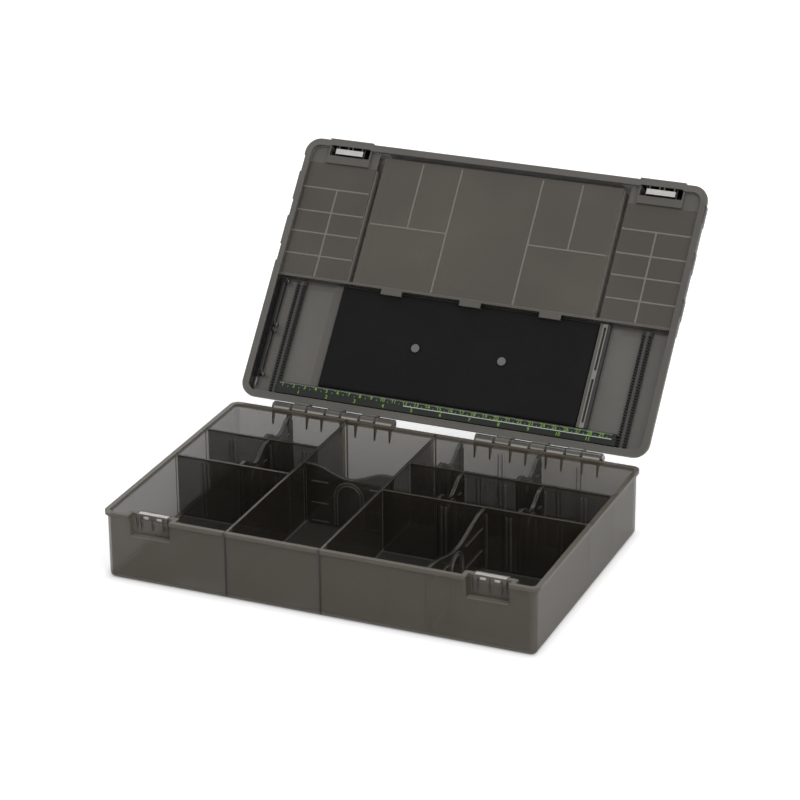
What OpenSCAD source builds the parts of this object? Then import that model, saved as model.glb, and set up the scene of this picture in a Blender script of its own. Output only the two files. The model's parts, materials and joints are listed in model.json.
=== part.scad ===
// Flat tackle box of smoked plastic: a divided tray, and a hinged lid that holds a rig board
// inside and three covered trays on top. Drawn with the lid swung open.
// X runs along the hinge, Y towards the hinge and Z up; the origin is the middle of the underside.
// Lid pieces are drawn in the lid's own frame, turned upside down: X along the hinge, Y = minus the
// distance forward from the hinge-side rim, Z = height above the rim. in_lid() closes and swings them.

/* [Box] */
// Outside width over the rim, along the hinge
box_w = 356.4; // [336:0.2:380]
// Outside depth over the rim, front to back
box_d = 232.6; // [226:0.2:244]
// Height of the tray
tray_h = 56.4; // [50:0.2:62]
// Plan radius of the corners of the tray's rim
tray_corner_r = 7; // [6.5:0.5:10]
// Plan radius of the corners of the lid's rim
lid_corner_r = 13; // [10:0.5:15]
// How far the tray's rim flange stands out from its walls
flange_out = 2.2; // [1.8:0.1:2.8]
// How far the lid's rim flange stands out from its walls
lid_flange_out = 3.6; // [3:0.1:4.2]
// Height of the rim flange
flange_h = 3; // [2:0.5:4]
// Thickness of the tray's walls and floor
wall = 1.8; // [1.5:0.1:2.2]
// Outside radius along the tray's bottom edge
bottom_r = 4.5; // [3:0.5:4.7]

/* [Tray walls] */
// Thickness of the fixed inner walls
rib_wall = 1.8; // [1.4:0.1:2.2]
// How far the inner walls stop below the rim
wall_drop = 1; // [0.5:0.5:3]
// Width of the left block, rim edge to the middle of its wall
left_block_w = 103.5; // [98:0.5:108]
// Width of the middle block, wall middle to wall middle
middle_block_w = 78.3; // [70:0.1:84]
// Depth of the rear row, rim edge to the middle of its wall
rear_row_d = 57.5; // [52:0.5:62]
// Depth of the middle row, wall middle to wall middle
mid_row_d = 55.3; // [50:0.1:60]

/* [Dividers] */
// Thickness of a lift-out divider
divider_t = 1.6; // [1.2:0.1:2]
// Clearance of a divider to each side of its slot and to the walls
divider_gap = 0.3; // [0.2:0.05:0.5]
// Thickness of the two ribs that make a slot
rail_t = 1.2; // [1:0.1:1.6]
// How far those ribs stand out
rail_out = 2.2; // [1.6:0.1:3]
// How far the ribs stop below the rim
rail_drop = 6.5; // [4:0.5:10]
// Slot pitch in the left block
left_pitch = 32.5; // [30:0.1:34]
// Slot pitch in the right block
right_pitch = 33.5; // [31:0.1:35]
// First slot of the right block's rear row, from the middle of its wall
rear_first = 24.2; // [18:0.1:28]
// First slot of the right block's middle row, from the middle of its wall
mid_first = 46.7; // [42:0.1:50]
// First slot of the right block's front row, from the middle of its wall
front_first = 52.7; // [48:0.1:55]
// Last slot of the right block's front row, from the middle of its wall
front_last = 106.3; // [104:0.1:107]
// First slot of the left block's middle row, from the middle of its wall
left_first = 11.5; // [9:0.1:16]
// The slot of the left block's rear row, from the middle of its wall
left_rear_at = 49; // [30:0.5:70]
// The slot of the middle block, behind the middle of the tray
middle_slot_y = 29; // [10:0.5:60]
// How far the scooped edge dips in the middle of a divider
scoop_depth = 8.8; // [5:0.1:14]
// Length of the level part at each end of the scooped edge
scoop_flat = 6; // [4:0.5:10]
// Width of the rounded bead along the scooped edge
bead_w = 2.6; // [2:0.1:3]
// Width of the arched panel pressed into a long divider
arch_w = 26; // [20:1:32]
// Rim to the top of the arched panel
arch_drop = 13.5; // [13:0.5:18]
// Distance between the two lines of an arch
arch_step = 2.4; // [1.5:0.1:4]
// Width of a pressed line
line_w = 0.9; // [0.6:0.1:1.4]
// How far pressed lines stand out of a divider
line_out = 0.4; // [0.2:0.05:0.6]

/* [Hinge] */
// Distance of the hinge axis behind the rim
hinge_out = 5.5; // [5:0.1:7]
// Distance of the hinge axis below the tray's rim
hinge_drop = 0.8; // [0.4:0.1:1.5]
// Radius of a hinge knuckle
knuckle_r = 4; // [3.6:0.1:4.4]
// Radius of a hinge pin
pin_r = 1.5; // [1.2:0.1:1.8]
// Radial running clearance of every pin
pin_gap = 0.06; // [0.04:0.01:0.1]
// Width of a tray knuckle
tray_knuckle_w = 16.4; // [14:0.1:18]
// Pitch of the tray knuckles
knuckle_pitch = 30.45; // [28:0.05:32]
// Distance of each hinge's inner end from the middle
hinge_start = 35.6; // [30:0.1:42]
// Thickness of the gussets under the tray knuckles
gusset_t = 1.2; // [1:0.1:2]
// How far the gussets reach below the knuckles
gusset_h = 9.5; // [6:0.5:12]
// Side clearance between neighbouring knuckles
knuckle_gap = 0.3; // [0.2:0.05:0.5]
// How far the lid is swung open in the drawing
open_angle = 129.9; // [90:0.1:140]

/* [Lid] */
// Gap between the two rims with the lid shut
rim_gap = 0.3; // [0.2:0.1:0.6]
// Thickness of the lid's walls
lid_wall = 2; // [1.6:0.1:2.4]
// Outside height of the lid's rear half
pan_h = 14; // [13.5:0.5:17]
// Outside height of the lid's front half
deck_h = 21; // [20:0.5:25]
// Depth of the rear half, rim edge to the step
pan_d = 109; // [106:0.5:112]
// Outside radius of the lid's upper edges
lid_edge_r = 5; // [3:0.5:6]
// Height of the trays' floors above the rim
tray_floor = 3.5; // [3:0.5:5]
// Thickness of the trays' floors and walls
tray_wall = 1.6; // [1.2:0.1:2]
// Thickness of the trays' inner ribs
cell_rib = 1.2; // [1:0.1:1.6]
// How far the lines under the ribs stand out of the trays' floors
rib_line = 0.25; // [0.1:0.05:0.4]
// Half width of the middle tray
centre_half = 106; // [100:1:110]
// Width of the groove on each side of the middle tray
groove_w = 6; // [5:0.5:8]
// Rim edge to the front of the middle tray
centre_front = 223.6; // [218:0.1:223.6]
// Length of a finger grip on the lid's sides
grip_l = 17; // [14:0.5:22]
// Pitch of the finger grips
grip_pitch = 40.5; // [36:0.5:44]
// Rim edge to the middle one of the finger grips
grip_v = 168.5; // [160:0.5:172]
// How far the rim flange is cut back at a finger grip
grip_cut = 1; // [0.5:0.1:1.5]
// Height of a finger grip's pad above the rim
grip_h = 10.5; // [8:0.5:12]
// Width of a clip tab over the rig board
tab_w = 18.5; // [14:0.5:22]
// Spacing of the clip tabs
tab_pitch = 70; // [60:1:80]

/* [Doors] */
// Thickness of a door
door_t = 1.6; // [1.2:0.1:2]
// Clearance around a door
door_gap = 0.4; // [0.3:0.05:0.6]
// Radius of a door knuckle
door_knuckle_r = 2.4; // [2.1:0.1:2.6]
// Radius of a door pin
door_pin_r = 1; // [0.8:0.1:1.2]
// Width of a door knuckle
door_knuckle_w = 9; // [7:0.5:12]
// Rim edge to the front edge of the side doors
side_door_front = 207; // [200:0.5:209]
// Length of a door's finger lip
door_lip_l = 22; // [16:1:30]

/* [Rig board] */
// Half width of the board
board_half = 121.5; // [119:0.5:124]
// Rim edge to the board's near edge
board_from = 19; // [18:0.5:22]
// Thickness of the board
board_t = 1.2; // [1:0.1:1.6]
// Thickness of the foam
foam_t = 3.6; // [2.5:0.1:4]
// Left edge of the foam, from the middle
foam_left = 114.4; // [110:0.2:117]
// Right edge of the foam, from the middle
foam_right = 111.6; // [108:0.2:114]
// Width of the slotted rail at the foam's right
rail_w = 8.8; // [7:0.2:9.2]
// Diameter of a foam button
button_d = 7; // [5:0.5:10]
// Thickness of a foam button's head
button_t = 0.8; // [0.6:0.1:1]
// Distance of the buttons from the middle
button_x = 38; // [30:1:50]
// Rim edge to the buttons
button_v = 63.4; // [50:0.2:75]
// Radius of a button's stem
stem_r = 2; // [1.5:0.1:2.5]

/* [Fittings] */
// Distance of the combs from the middle
comb_x = 152.7; // [148:0.1:156]
// Width of a comb
comb_w = 8; // [6:0.5:10]
// Pitch of the comb's teeth
tooth_pitch = 2.4; // [2:0.1:4]
// Length of a tool clip
clip_l = 42; // [36:1:44]
// Space in front of each tool clip
clip_gap = 2; // [1:0.5:3]
// Distance of the tool clips from the lid's side wall
clip_in = 2.4; // [2.4:0.1:4]
// Thickness of a tool clip's bar
clip_t = 3; // [2:0.5:4]
// Width of the ruler strip
ruler_w = 10; // [8:0.5:11]
// Rim edge to the ruler strip
ruler_from = 7.8; // [7.5:0.1:8.6]
// Thickness of the ruler strip and its two edges
ruler_t = 1.4; // [1:0.1:2]
// Height of the ruler's face above the rim
ruler_face = 5; // [4:0.5:6]

/* [Magnets] */
// Rim edge at the side to the middle of the magnets
magnet_side = 40; // [36:0.5:46]
// Length of a bar magnet
magnet_l = 24.6; // [20:0.2:28]
// Thickness of a bar magnet, front to back
magnet_t = 4.6; // [4:0.1:5]
// Height of a bar magnet
magnet_h = 5; // [4:0.5:5]
// Rim edge to the middle of the magnets
magnet_in = 9.7; // [9.2:0.1:10.4]
// Width of the finger recess under a tray magnet
recess_w = 34; // [30:1:36]
// Height of the recess below the rim
recess_h = 17.5; // [15:0.5:20]

/* [Hidden] */
$fn = 48;
smoke = [0.33, 0.31, 0.28];
black = [0.10, 0.10, 0.10];
steel = [0.80, 0.80, 0.80];
over = 1;                                   // how far a cut runs past what it cuts
seat = 0.3;                                 // gap between loose pieces that rest on each other
core_w = box_w - 2 * tray_corner_r;         // straight length of the tray's front and back
core_d = box_d - 2 * tray_corner_r;         // straight length of the tray's sides
lid_core_w = box_w - 2 * lid_corner_r;      // straight length of the lid's front and back
outer_w = box_w - 2 * flange_out;           // width over the tray's walls, without the flange
lid_outer = box_w / 2 - lid_flange_out;     // outer face of the lid's side walls
outer_d = box_d - 2 * flange_out;
inner_back = outer_d / 2 - wall;            // inner face of the tray's back wall
wall_top = tray_h - wall_drop;
rail_top = tray_h - rail_drop;
wall_a = left_block_w - box_w / 2;          // wall between the left and middle blocks
wall_b = wall_a + middle_block_w;           // wall between the middle and right blocks
rear_y = box_d / 2 - rear_row_d;            // wall in front of the rear row
front_y = rear_y - mid_row_d;               // wall behind the front row
row_mid = [(inner_back + rear_y + rib_wall / 2) / 2, (rear_y + front_y) / 2,
           (front_y - rib_wall / 2 - inner_back) / 2];
row_span = [inner_back - rear_y - rib_wall / 2, mid_row_d - rib_wall, front_y + inner_back - rib_wall / 2];
slot_w = divider_t + 2 * divider_gap;
rear_slots = [for (i = [0:3]) wall_b + rear_first + i * right_pitch];
mid_slots = [for (i = [0:3]) wall_b + mid_first + i * right_pitch];
front_slots = [wall_b + front_first, wall_b + front_first + right_pitch, wall_b + front_last];
left_slots = [for (i = [0:2]) wall_a - left_first - i * left_pitch];
left_rear_slot = wall_a - left_rear_at;
hinge_y = box_d / 2 + hinge_out;
hinge_z = tray_h - hinge_drop;
knuckles = 4;
hinge_l = (knuckles - 1) * knuckle_pitch + tray_knuckle_w;
lid_axis_t = hinge_z - tray_h - rim_gap;    // height of the hinge axis in the lid's frame
board_top = pan_h - lid_wall - seat;        // the board lies against the lid's inner face
foam_top = board_top - board_t - foam_t;    // the foam's face towards the tray
side_inner = lid_outer - lid_wall;          // inner face of the lid's side walls
front_inner = lid_flange_out + lid_wall;    // inner face of the lid's front wall, from its rim
door_rear = pan_d;
door_axis_v = pan_d - door_knuckle_r - 0.4;
door_axis_t = deck_h - door_knuckle_r - 0.4;
side_door = [centre_half + groove_w + tray_wall + door_gap, lid_outer - lid_edge_r + 1.2];
centre_door = centre_half - tray_wall - door_gap;
door_hinge_w = 3 * door_knuckle_w;          // one door knuckle between two of the lid's
door_hinge_in = 8;                          // first hinge of a wide door, from the door's end
pocket_w = recess_w + 2;                    // the dark pocket round a lid magnet
pocket_rib = 1;
pocket_from = box_d - magnet_in - magnet_t / 2 - 1.2;
recess_in = 7;                              // depth of the finger recess behind the rim edge
recess_z = tray_h - recess_h;
magnet_x = box_w / 2 - magnet_side;
magnet_gap = 0.1;                           // a magnet's clearance on each side
magnet_drop = 0.2;                          // a magnet's face below the rim
housing_t = 1.2;                            // walls around the tray's magnets
housing_z = tray_h - magnet_h - 2;          // underside of a housing
bracket_h = 5;                              // ribs that carry a housing: height, and spacing
bracket_pitch = 9.5;
window = [5.2, 5.6];                        // windows in a housing's front: width, and from its middle
magnet_y = magnet_in - box_d / 2;
pocket_flange = 7;                          // band behind a magnet pocket
side_front = pocket_from - pocket_flange;   // front of the side trays
side_tray = centre_half + groove_w;         // inner side of a side tray
tray_rear = pan_d + lid_wall;               // rear end of the trays' cells
tray_base = [tray_floor, tray_floor + tray_wall];
grid_top = deck_h - lid_wall;
edge_room = lid_edge_r - lid_wall + 0.5;    // clears the shell's rounded inner edge
centre_door_front = centre_front - tray_wall - door_gap;
row_ribs = [189.5, 168.5, 149.5, 129.5];    // cross ribs of the side trays, from the rim edge
side_rib_x = 141.5;                         // lengthwise rib of a side tray
centre_rib_x = 36;                          // lengthwise ribs of the middle tray, and its outer ones
centre_small_x = 71;
centre_cross = 164.3;                       // cross ribs of the middle tray, from the rim edge
tab_reach = 4.5;                            // how far a clip tab reaches back from the step
tab_t = 1.2;                                // thickness of a tab's end
comb_from = 8;                              // rim edge to the near end of the combs
rail_slot_in = 4.5;                         // board's edge to the first slot of its rail
rail_slot_rest = 7.5;                       // what is left between and behind the rail's slots
rail_slot_w = 2;

// ---------------------------------------------------------------- shared shapes

// Half of a pan's cross-section: x outwards from the corner's centre, y from the rim to the floor.
module pan_profile(plan_r, flange, height, thick, edge_r) {
    out = plan_r - flange;
    difference() {
        rounded_end(out, height, edge_r);
        translate([-over, -over])
            rounded_end(out - thick + over, height - thick + over, max(edge_r - thick, 0.5));
    }
    translate([out - thick / 2, 0]) square([flange + thick / 2, flange_h]);
}

module rounded_end(x, y, r) {
    square([x - r, y]);
    square([x, y - r]);
    translate([x - r, y - r]) intersection() {
        circle(r);
        square(r);
    }
}

// A profile carried along a straight, facing the way that dir says in degrees.
module run(dir, at, length) {
    translate(at) rotate([90, 0, dir]) linear_extrude(length, center = true) children();
}

// A profile carried round a corner, from dir to dir + 90 degrees.
module corner(dir, at) {
    translate(at) rotate([0, 0, dir]) rotate_extrude(angle = 90) children();
}

module block(x, y, z) {
    translate([x[0], y[0], z[0]]) cube([x[1] - x[0], y[1] - y[0], z[1] - z[0]]);
}

module rod(r, x_from, x_to, y, z) {
    translate([x_from, y, z]) rotate([0, 90, 0]) cylinder(r = r, h = x_to - x_from);
}

// A profile in Y and Z, given as 2D x and y, extruded along X.
module plate_x(x_from, x_to) {
    translate([x_from, 0, 0]) rotate([90, 0, 90]) linear_extrude(x_to - x_from) children();
}

// From the lid's own frame to the drawing: put it on the tray, then swing it open.
module in_lid(angle = open_angle) {
    translate([0, hinge_y, hinge_z]) rotate([-angle, 0, 0])
        translate([0, -hinge_out, tray_h + rim_gap - hinge_z]) children();
}

// A block in the lid's frame, with its distance forward from the hinge-side rim.
module lid_block(x, v, t) {
    block(x, [-v[1], -v[0]], t);
}

// ---------------------------------------------------------------- tray

module tray_profile() {
    translate([0, tray_h]) mirror([0, 1]) pan_profile(tray_corner_r, flange_out, tray_h, wall, bottom_r);
}

module tray_shell() {
    for (s = [0, 180]) {
        rotate([0, 0, s]) {
            run(0, [core_w / 2, 0, 0], core_d) tray_profile();
            run(90, [0, core_d / 2, 0], core_w) tray_profile();
            corner(0, [core_w / 2, core_d / 2, 0]) tray_profile();
            corner(90, [-core_w / 2, core_d / 2, 0]) tray_profile();
        }
    }
    block([-core_w / 2, core_w / 2], [-core_d / 2, core_d / 2], [0, wall]);
}

// Outline of a wall that crosses the whole tray and ends inside the outer walls.
module crossing(span) {
    r = bottom_r - wall / 2;
    half = span / 2 - wall / 2;
    translate([-half, wall / 2 + r]) square([2 * half, wall_top - wall / 2 - r]);
    translate([r - half, wall / 2]) square([2 * (half - r), 2 * r]);
    for (s = [-1, 1]) translate([s * (half - r), wall / 2 + r]) circle(r);
}

module cross_wall(y, x_from, x_to) {
    translate([0, y + rib_wall / 2, 0]) rotate([90, 0, 0]) linear_extrude(rib_wall)
        intersection() {
            crossing(outer_w);
            translate([x_from, 0]) square([x_to - x_from, tray_h]);
        }
}

module tray_walls() {
    for (x = [wall_a, wall_b]) plate_x(x - rib_wall / 2, x + rib_wall / 2) crossing(outer_d);
    for (y = [rear_y, front_y]) {
        cross_wall(y, -box_w / 2, wall_a);
        cross_wall(y, wall_b, box_w / 2);
    }
}

// The two ribs of one slot, on a wall face at y and standing out along dir.
module slot_ribs(x, y, dir) {
    root = wall / 4;
    for (s = [-1, 1])
        translate([x + s * (slot_w + rail_t) / 2, y + dir * (rail_out - root) / 2, (bottom_r + rail_top) / 2])
            cube([rail_t, rail_out + root, rail_top - bottom_r], center = true);
}

// Slots in the walls on both sides of a row.
module row_slots(xs, row) {
    for (x = xs) {
        slot_ribs(x, row_mid[row] - row_span[row] / 2, 1);
        slot_ribs(x, row_mid[row] + row_span[row] / 2, -1);
    }
}

module tray_slots() {
    row_slots(rear_slots, 0);
    row_slots([left_rear_slot], 0);
    row_slots(mid_slots, 1);
    row_slots(left_slots, 1);
    row_slots(front_slots, 2);
    middle = (wall_a + wall_b) / 2;
    translate([middle, middle_slot_y, 0]) rotate([0, 0, 90]) {
        slot_ribs(0, -(middle_block_w - rib_wall) / 2, 1);
        slot_ribs(0, (middle_block_w - rib_wall) / 2, -1);
    }
}

// Arm of one tray knuckle, from the rim's edge, drawn about the hinge axis in Y and Z.
module tray_arm() {
    translate([-hinge_out, -knuckle_r]) square([hinge_out, knuckle_r + hinge_drop - 0.1]);
    circle(knuckle_r);
}

// Gusset under an arm, fitted round the rim flange down to the tray's wall.
module gusset() {
    wall_face = -hinge_out - flange_out;
    under_rim = hinge_drop - flange_h;
    polygon([[wall_face, -knuckle_r - gusset_h], [wall_face + 0.4, -knuckle_r - gusset_h],
             [-2.6, -knuckle_r + 0.6], [-2.6, -1], [-hinge_out, -1], [-hinge_out, under_rim],
             [wall_face, under_rim]]);
}

// The four tray knuckles of one hinge, with their arms and gussets.
module tray_hinge(side) {
    color(smoke) mirror([side < 0 ? 1 : 0, 0, 0]) translate([0, hinge_y, hinge_z]) difference() {
        for (i = [0:knuckles - 1]) {
            from = hinge_start + i * knuckle_pitch;
            plate_x(from, from + tray_knuckle_w) tray_arm();
            for (x = [from + 1, from + tray_knuckle_w - 1 - gusset_t]) plate_x(x, x + gusset_t) gusset();
        }
        rod(pin_r + pin_gap, 0, box_w / 2, 0, 0);
    }
}

// Walls of one finger recess, with the magnet's housing on its rim.
module recess_walls(side) {
    x = side * magnet_x;
    half = recess_w / 2;
    rim = -box_d / 2;
    face = rim + recess_in;
    back = [face, face + wall];
    across = [x - half - wall, x + half + wall];
    block(across, back, [recess_z - wall, tray_h]);
    block(across, [rim + flange_out + wall / 2, face], [recess_z - wall, recess_z]);
    for (s = [-1, 1]) {
        inner = x + s * half;
        cheek = s > 0 ? [inner, inner + wall] : [inner - wall, inner];
        block(cheek, [rim + flange_out + wall / 2, face], [recess_z - wall, tray_h]);
        band = s > 0 ? [inner, inner + flange_out + wall] : [inner - flange_out - wall, inner];
        block(band, [rim, face + flange_out + wall], [tray_h - flange_h, tray_h]);
    }
    housing = [x - magnet_l / 2 - housing_t, x + magnet_l / 2 + housing_t];
    front = magnet_y - magnet_t / 2 - housing_t;
    block(housing, [front, magnet_y + magnet_t / 2 + housing_t], [housing_z, tray_h]);
    block([x - half, x + half], [face, face + flange_out + wall], [tray_h - flange_h, tray_h]);
    for (dx = [-1, 0, 1] * bracket_pitch)
        plate_x(x + dx - housing_t / 2, x + dx + housing_t / 2)
            polygon([[face + wall / 2, housing_z - bracket_h], [face, housing_z - bracket_h],
                     [front, housing_z], [face + wall / 2, housing_z]]);
}

// What is cut out of the front wall for one finger recess.
module recess_cut(side) {
    x = side * magnet_x;
    block([x - recess_w / 2, x + recess_w / 2], [-box_d / 2 - over, rib_wall - inner_back],
          [recess_z, tray_h + over]);
}

// The magnet's slot, open at the rim, with two windows in its front.
module housing_cut(side) {
    x = side * magnet_x;
    half_l = magnet_l / 2 + magnet_gap;
    half_t = magnet_t / 2 + magnet_gap;
    floor = tray_h - magnet_h - magnet_drop;
    block([x - half_l, x + half_l], [magnet_y - half_t, magnet_y + half_t], [floor, tray_h + over]);
    for (dx = [-1, 1] * window[1])
        block([x + dx - window[0] / 2, x + dx + window[0] / 2], [magnet_y - magnet_t, magnet_y],
              [floor + 1, tray_h - 1.2]);
}

module base_tray() {
    color(smoke) difference() {
        union() {
            difference() {
                union() {
                    tray_shell();
                    tray_walls();
                    tray_slots();
                }
                for (side = [-1, 1]) recess_cut(side);
            }
            for (side = [-1, 1]) recess_walls(side);
        }
        for (side = [-1, 1]) housing_cut(side);
    }
}

module hinge_pin(side) {
    inner = hinge_start + 0.5;
    outer = hinge_start + hinge_l + 0.2;
    head = [outer, outer + 1.2];
    color(steel) {
        rod(pin_r, side > 0 ? inner : -outer, side > 0 ? outer : -inner, hinge_y, hinge_z);
        rod(pin_r + 1, side > 0 ? head[0] : -head[1], side > 0 ? head[1] : -head[0], hinge_y, hinge_z);
    }
}

module tray_magnet(side) {
    x = side * magnet_x;
    color(steel)
        block([x - magnet_l / 2, x + magnet_l / 2], [magnet_y - magnet_t / 2, magnet_y + magnet_t / 2],
              [tray_h - magnet_h - magnet_drop, tray_h - magnet_drop]);
}

// ---------------------------------------------------------------- dividers

// Points of a scooped edge from right to left, level at both ends and lowest in the middle.
function scoop(half, flat, top, dip) = [
    for (i = [12:-1:-12])
        let (u = abs(i) / 12)
        [sign(i) * u * (half - flat), top - dip * (1 + cos(180 * u)) / 2]
];

module divider_outline(span, drop) {
    half = span / 2 - divider_gap;
    foot = wall + divider_gap;
    chamfer = bottom_r;
    top = wall_top - 0.2;
    edge = scoop(half, scoop_flat, top, scoop_depth);
    difference() {
        polygon(concat(
            [[-half + chamfer, foot], [half - chamfer, foot], [half, foot + chamfer], [half, top]],
            edge,
            [[-half, top], [-half, foot + chamfer]]));
        if (drop > 0) translate([0, -drop])
            polygon(concat([[-half - over, 0], [half + over, 0], [half + over, top]],
                           edge, [[-half - over, top]]));
    }
}

// The pressed arch and level lines on a divider's faces.
module divider_lines(span) {
    w = min(arch_w, span * 0.4);
    top = tray_h - arch_drop;
    spring = top - w / 2;
    for (s = [0, arch_step]) difference() {
        arch(w / 2 - s, spring);
        arch(w / 2 - s - line_w, spring);
    }
    reach = span / 2 - rail_out - 4;
    start = w / 2 + 5;
    for (z = [top - 3, top / 2, bottom_r + 1], s = [-1, 1])
        translate([s > 0 ? start : -reach, z - line_w / 2]) square([max(reach - start, 0.1), line_w]);
}

module arch(half, spring) {
    translate([-half, wall + 3]) square([2 * half, spring - wall - 3]);
    translate([0, spring]) circle(half);
}

// A divider along X about its own middle.
module divider(span) {
    inner = span - 2 * (rail_out + divider_gap);
    color(smoke) rotate([90, 0, 0]) {
        linear_extrude(divider_t, center = true) divider_outline(span, 0);
        linear_extrude(bead_w, center = true) intersection() {
            divider_outline(span, 1.6);
            translate([-inner / 2, 0]) square([inner, tray_h]);
        }
        linear_extrude(divider_t + 2 * line_out, center = true) divider_lines(span);
    }
}

module row_divider(x, row) {
    translate([x, row_mid[row], 0]) rotate([0, 0, 90]) divider(row_span[row]);
}

module middle_divider() {
    translate([(wall_a + wall_b) / 2, middle_slot_y, 0]) divider(middle_block_w - rib_wall);
}

// ---------------------------------------------------------------- lid

// The lower rear half of the lid, over the rig board.
module lid_rear() {
    module profile() { pan_profile(lid_corner_r, lid_flange_out, pan_h, lid_wall, lid_edge_r); }
    half = lid_core_w / 2;
    color(smoke) in_lid() {
        for (s = [0, 1]) mirror([s, 0, 0]) {
            run(0, [half, -(lid_corner_r + pan_d) / 2, 0], pan_d - lid_corner_r) profile();
            corner(0, [half, -lid_corner_r, 0]) profile();
        }
        run(90, [0, -lid_corner_r, 0], lid_core_w) profile();
        lid_block([-half, half], [lid_corner_r, pan_d], [pan_h - lid_wall, pan_h]);
    }
}

module lid_deck() {
    front = box_d - lid_corner_r;
    module profile() { pan_profile(lid_corner_r, lid_flange_out, deck_h, lid_wall, lid_edge_r); }
    half = lid_core_w / 2;
    for (s = [0, 1]) mirror([s, 0, 0]) {
        run(0, [half, -(front + pan_d) / 2, 0], front - pan_d) profile();
        corner(270, [half, -front, 0]) profile();
    }
    run(270, [0, -front, 0], lid_core_w) profile();
    lid_block([-half, half], [pan_d, front], [deck_h - lid_wall, deck_h]);
}

// The bands in front of the side trays, which the magnet pockets stand in.
module lid_bands() {
    for (s = [0, 1]) mirror([s, 0, 0])
        lid_block([side_tray, side_inner + 0.5], [side_front, box_d - front_inner + 0.5], tray_base);
}

// Ribs between the middle tray's cells, over the heights t.
module centre_ribs(t) {
    half = cell_rib / 2;
    front = centre_front - tray_wall;
    for (s = [0, 1]) mirror([s, 0, 0]) {
        lid_block([centre_rib_x - half, centre_rib_x + half], [tray_rear, front], t);
        lid_block([centre_small_x - half, centre_small_x + half], [centre_cross, front], t);
        lid_block([centre_rib_x, centre_half - tray_wall], [centre_cross - half, centre_cross + half], t);
    }
}

// Ribs between a side tray's cells, over the heights t, from its inner wall out to x_to.
module side_ribs(t, x_to) {
    half = cell_rib / 2;
    lid_block([side_rib_x - half, side_rib_x + half], [tray_rear, row_ribs[0]], t);
    for (v = row_ribs) lid_block([side_tray, x_to], [v - half, v + half], t);
}

module centre_floor() {
    color(smoke) in_lid() {
        lid_block([-centre_half, centre_half], [tray_rear, centre_front], tray_base);
        centre_ribs([tray_floor - rib_line, tray_floor + 0.1]);
    }
}

module side_floor(side) {
    color(smoke) in_lid() mirror([side < 0 ? 1 : 0, 0, 0]) {
        lid_block([side_tray, side_inner], [tray_rear, side_front], tray_base);
        side_ribs([tray_floor - rib_line, tray_floor + 0.1], side_inner);
    }
}

// Walls and ribs of the middle tray, between its floor and the deck.
module centre_grid() {
    t = [tray_base[1], grid_top];
    front = centre_front - tray_wall;
    color(smoke) in_lid() {
        centre_ribs(t);
        lid_block([-centre_half, centre_half], [front, centre_front], t);
        for (s = [0, 1]) mirror([s, 0, 0])
            lid_block([centre_half - tray_wall, centre_half], [tray_rear, front], t);
    }
}

// Walls and ribs of a side tray; they stand back from the rounded inner edge of the shell.
module side_grid(side) {
    t = [tray_base[1], grid_top];
    low = [tray_base[1], grid_top - edge_room];
    front = [side_front - tray_wall, side_front];
    color(smoke) in_lid() mirror([side < 0 ? 1 : 0, 0, 0]) {
        side_ribs(t, side_inner - edge_room);
        side_ribs(low, side_inner);
        lid_block([side_tray, side_inner - edge_room], front, t);
        lid_block([side_tray, side_inner], front, low);
        lid_block([side_tray, side_tray + tray_wall], [tray_rear, front[0]], t);
    }
}

// Frame of one magnet pocket, raised towards the tray.
module pocket_frame() {
    half = pocket_w / 2;
    lid_block([magnet_x - half - 1.5, magnet_x + half + 1.5], [side_front, box_d - front_inner + 0.5],
              [tray_floor - 2, tray_floor + tray_wall]);
    lid_block([magnet_x - half - 1.5, magnet_x + half + 1.5], [pocket_from - 1.5, box_d - front_inner + 0.5],
              [tray_floor, deck_h - lid_wall / 2]);
}

module pocket_cut() {
    half = pocket_w / 2;
    lid_block([magnet_x - half, magnet_x + half], [pocket_from, box_d - front_inner + 1],
              [-over, deck_h - lid_wall - 2]);
}

// Ribs that carry the magnet in its pocket.
module pocket_ribs() {
    front = box_d - front_inner + 1.2;
    face = box_d - magnet_in + magnet_t / 2 + magnet_gap;
    low = magnet_drop + magnet_h;
    for (dx = [-10.4, -2, 2, 10.4]) {
        x = [magnet_x + dx - pocket_rib / 2, magnet_x + dx + pocket_rib / 2];
        lid_block(x, [pocket_from - 0.5, front], [low, low + 3]);
        lid_block(x, [face, front], [1, low + 0.5]);
    }
    for (s = [-1, 1]) {
        end = magnet_x + s * (magnet_l / 2 + magnet_gap);
        lid_block(s > 0 ? [end, end + pocket_rib] : [end - pocket_rib, end],
                  [pocket_from - 0.5, front], [2, low + 3]);
    }
}

// Arm of one lid knuckle, fitted round the rim flange, drawn about the hinge axis in Y and Z.
module lid_arm() {
    rise = rim_gap + hinge_drop;
    over_rim = rise + flange_h;
    wall_face = -hinge_out - lid_flange_out;
    polygon([[wall_face, over_rim], [wall_face, over_rim + 2.7], [-hinge_out + 0.5, over_rim + 2.7],
             [0, knuckle_r], [0, 0], [-knuckle_r + 0.6, 0], [-hinge_out, rise], [-hinge_out, over_rim]]);
    circle(knuckle_r);
}

// The three lid knuckles of one hinge.
module lid_hinge(side) {
    at = [0, hinge_out, lid_axis_t];
    color(smoke) in_lid() mirror([side < 0 ? 1 : 0, 0, 0]) translate(at) difference() {
        for (i = [0:knuckles - 2]) {
            from = hinge_start + i * knuckle_pitch + tray_knuckle_w + knuckle_gap;
            plate_x(from, hinge_start + (i + 1) * knuckle_pitch - knuckle_gap) lid_arm();
        }
        rod(pin_r + pin_gap, 0, box_w / 2, 0, 0);
    }
}

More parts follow.
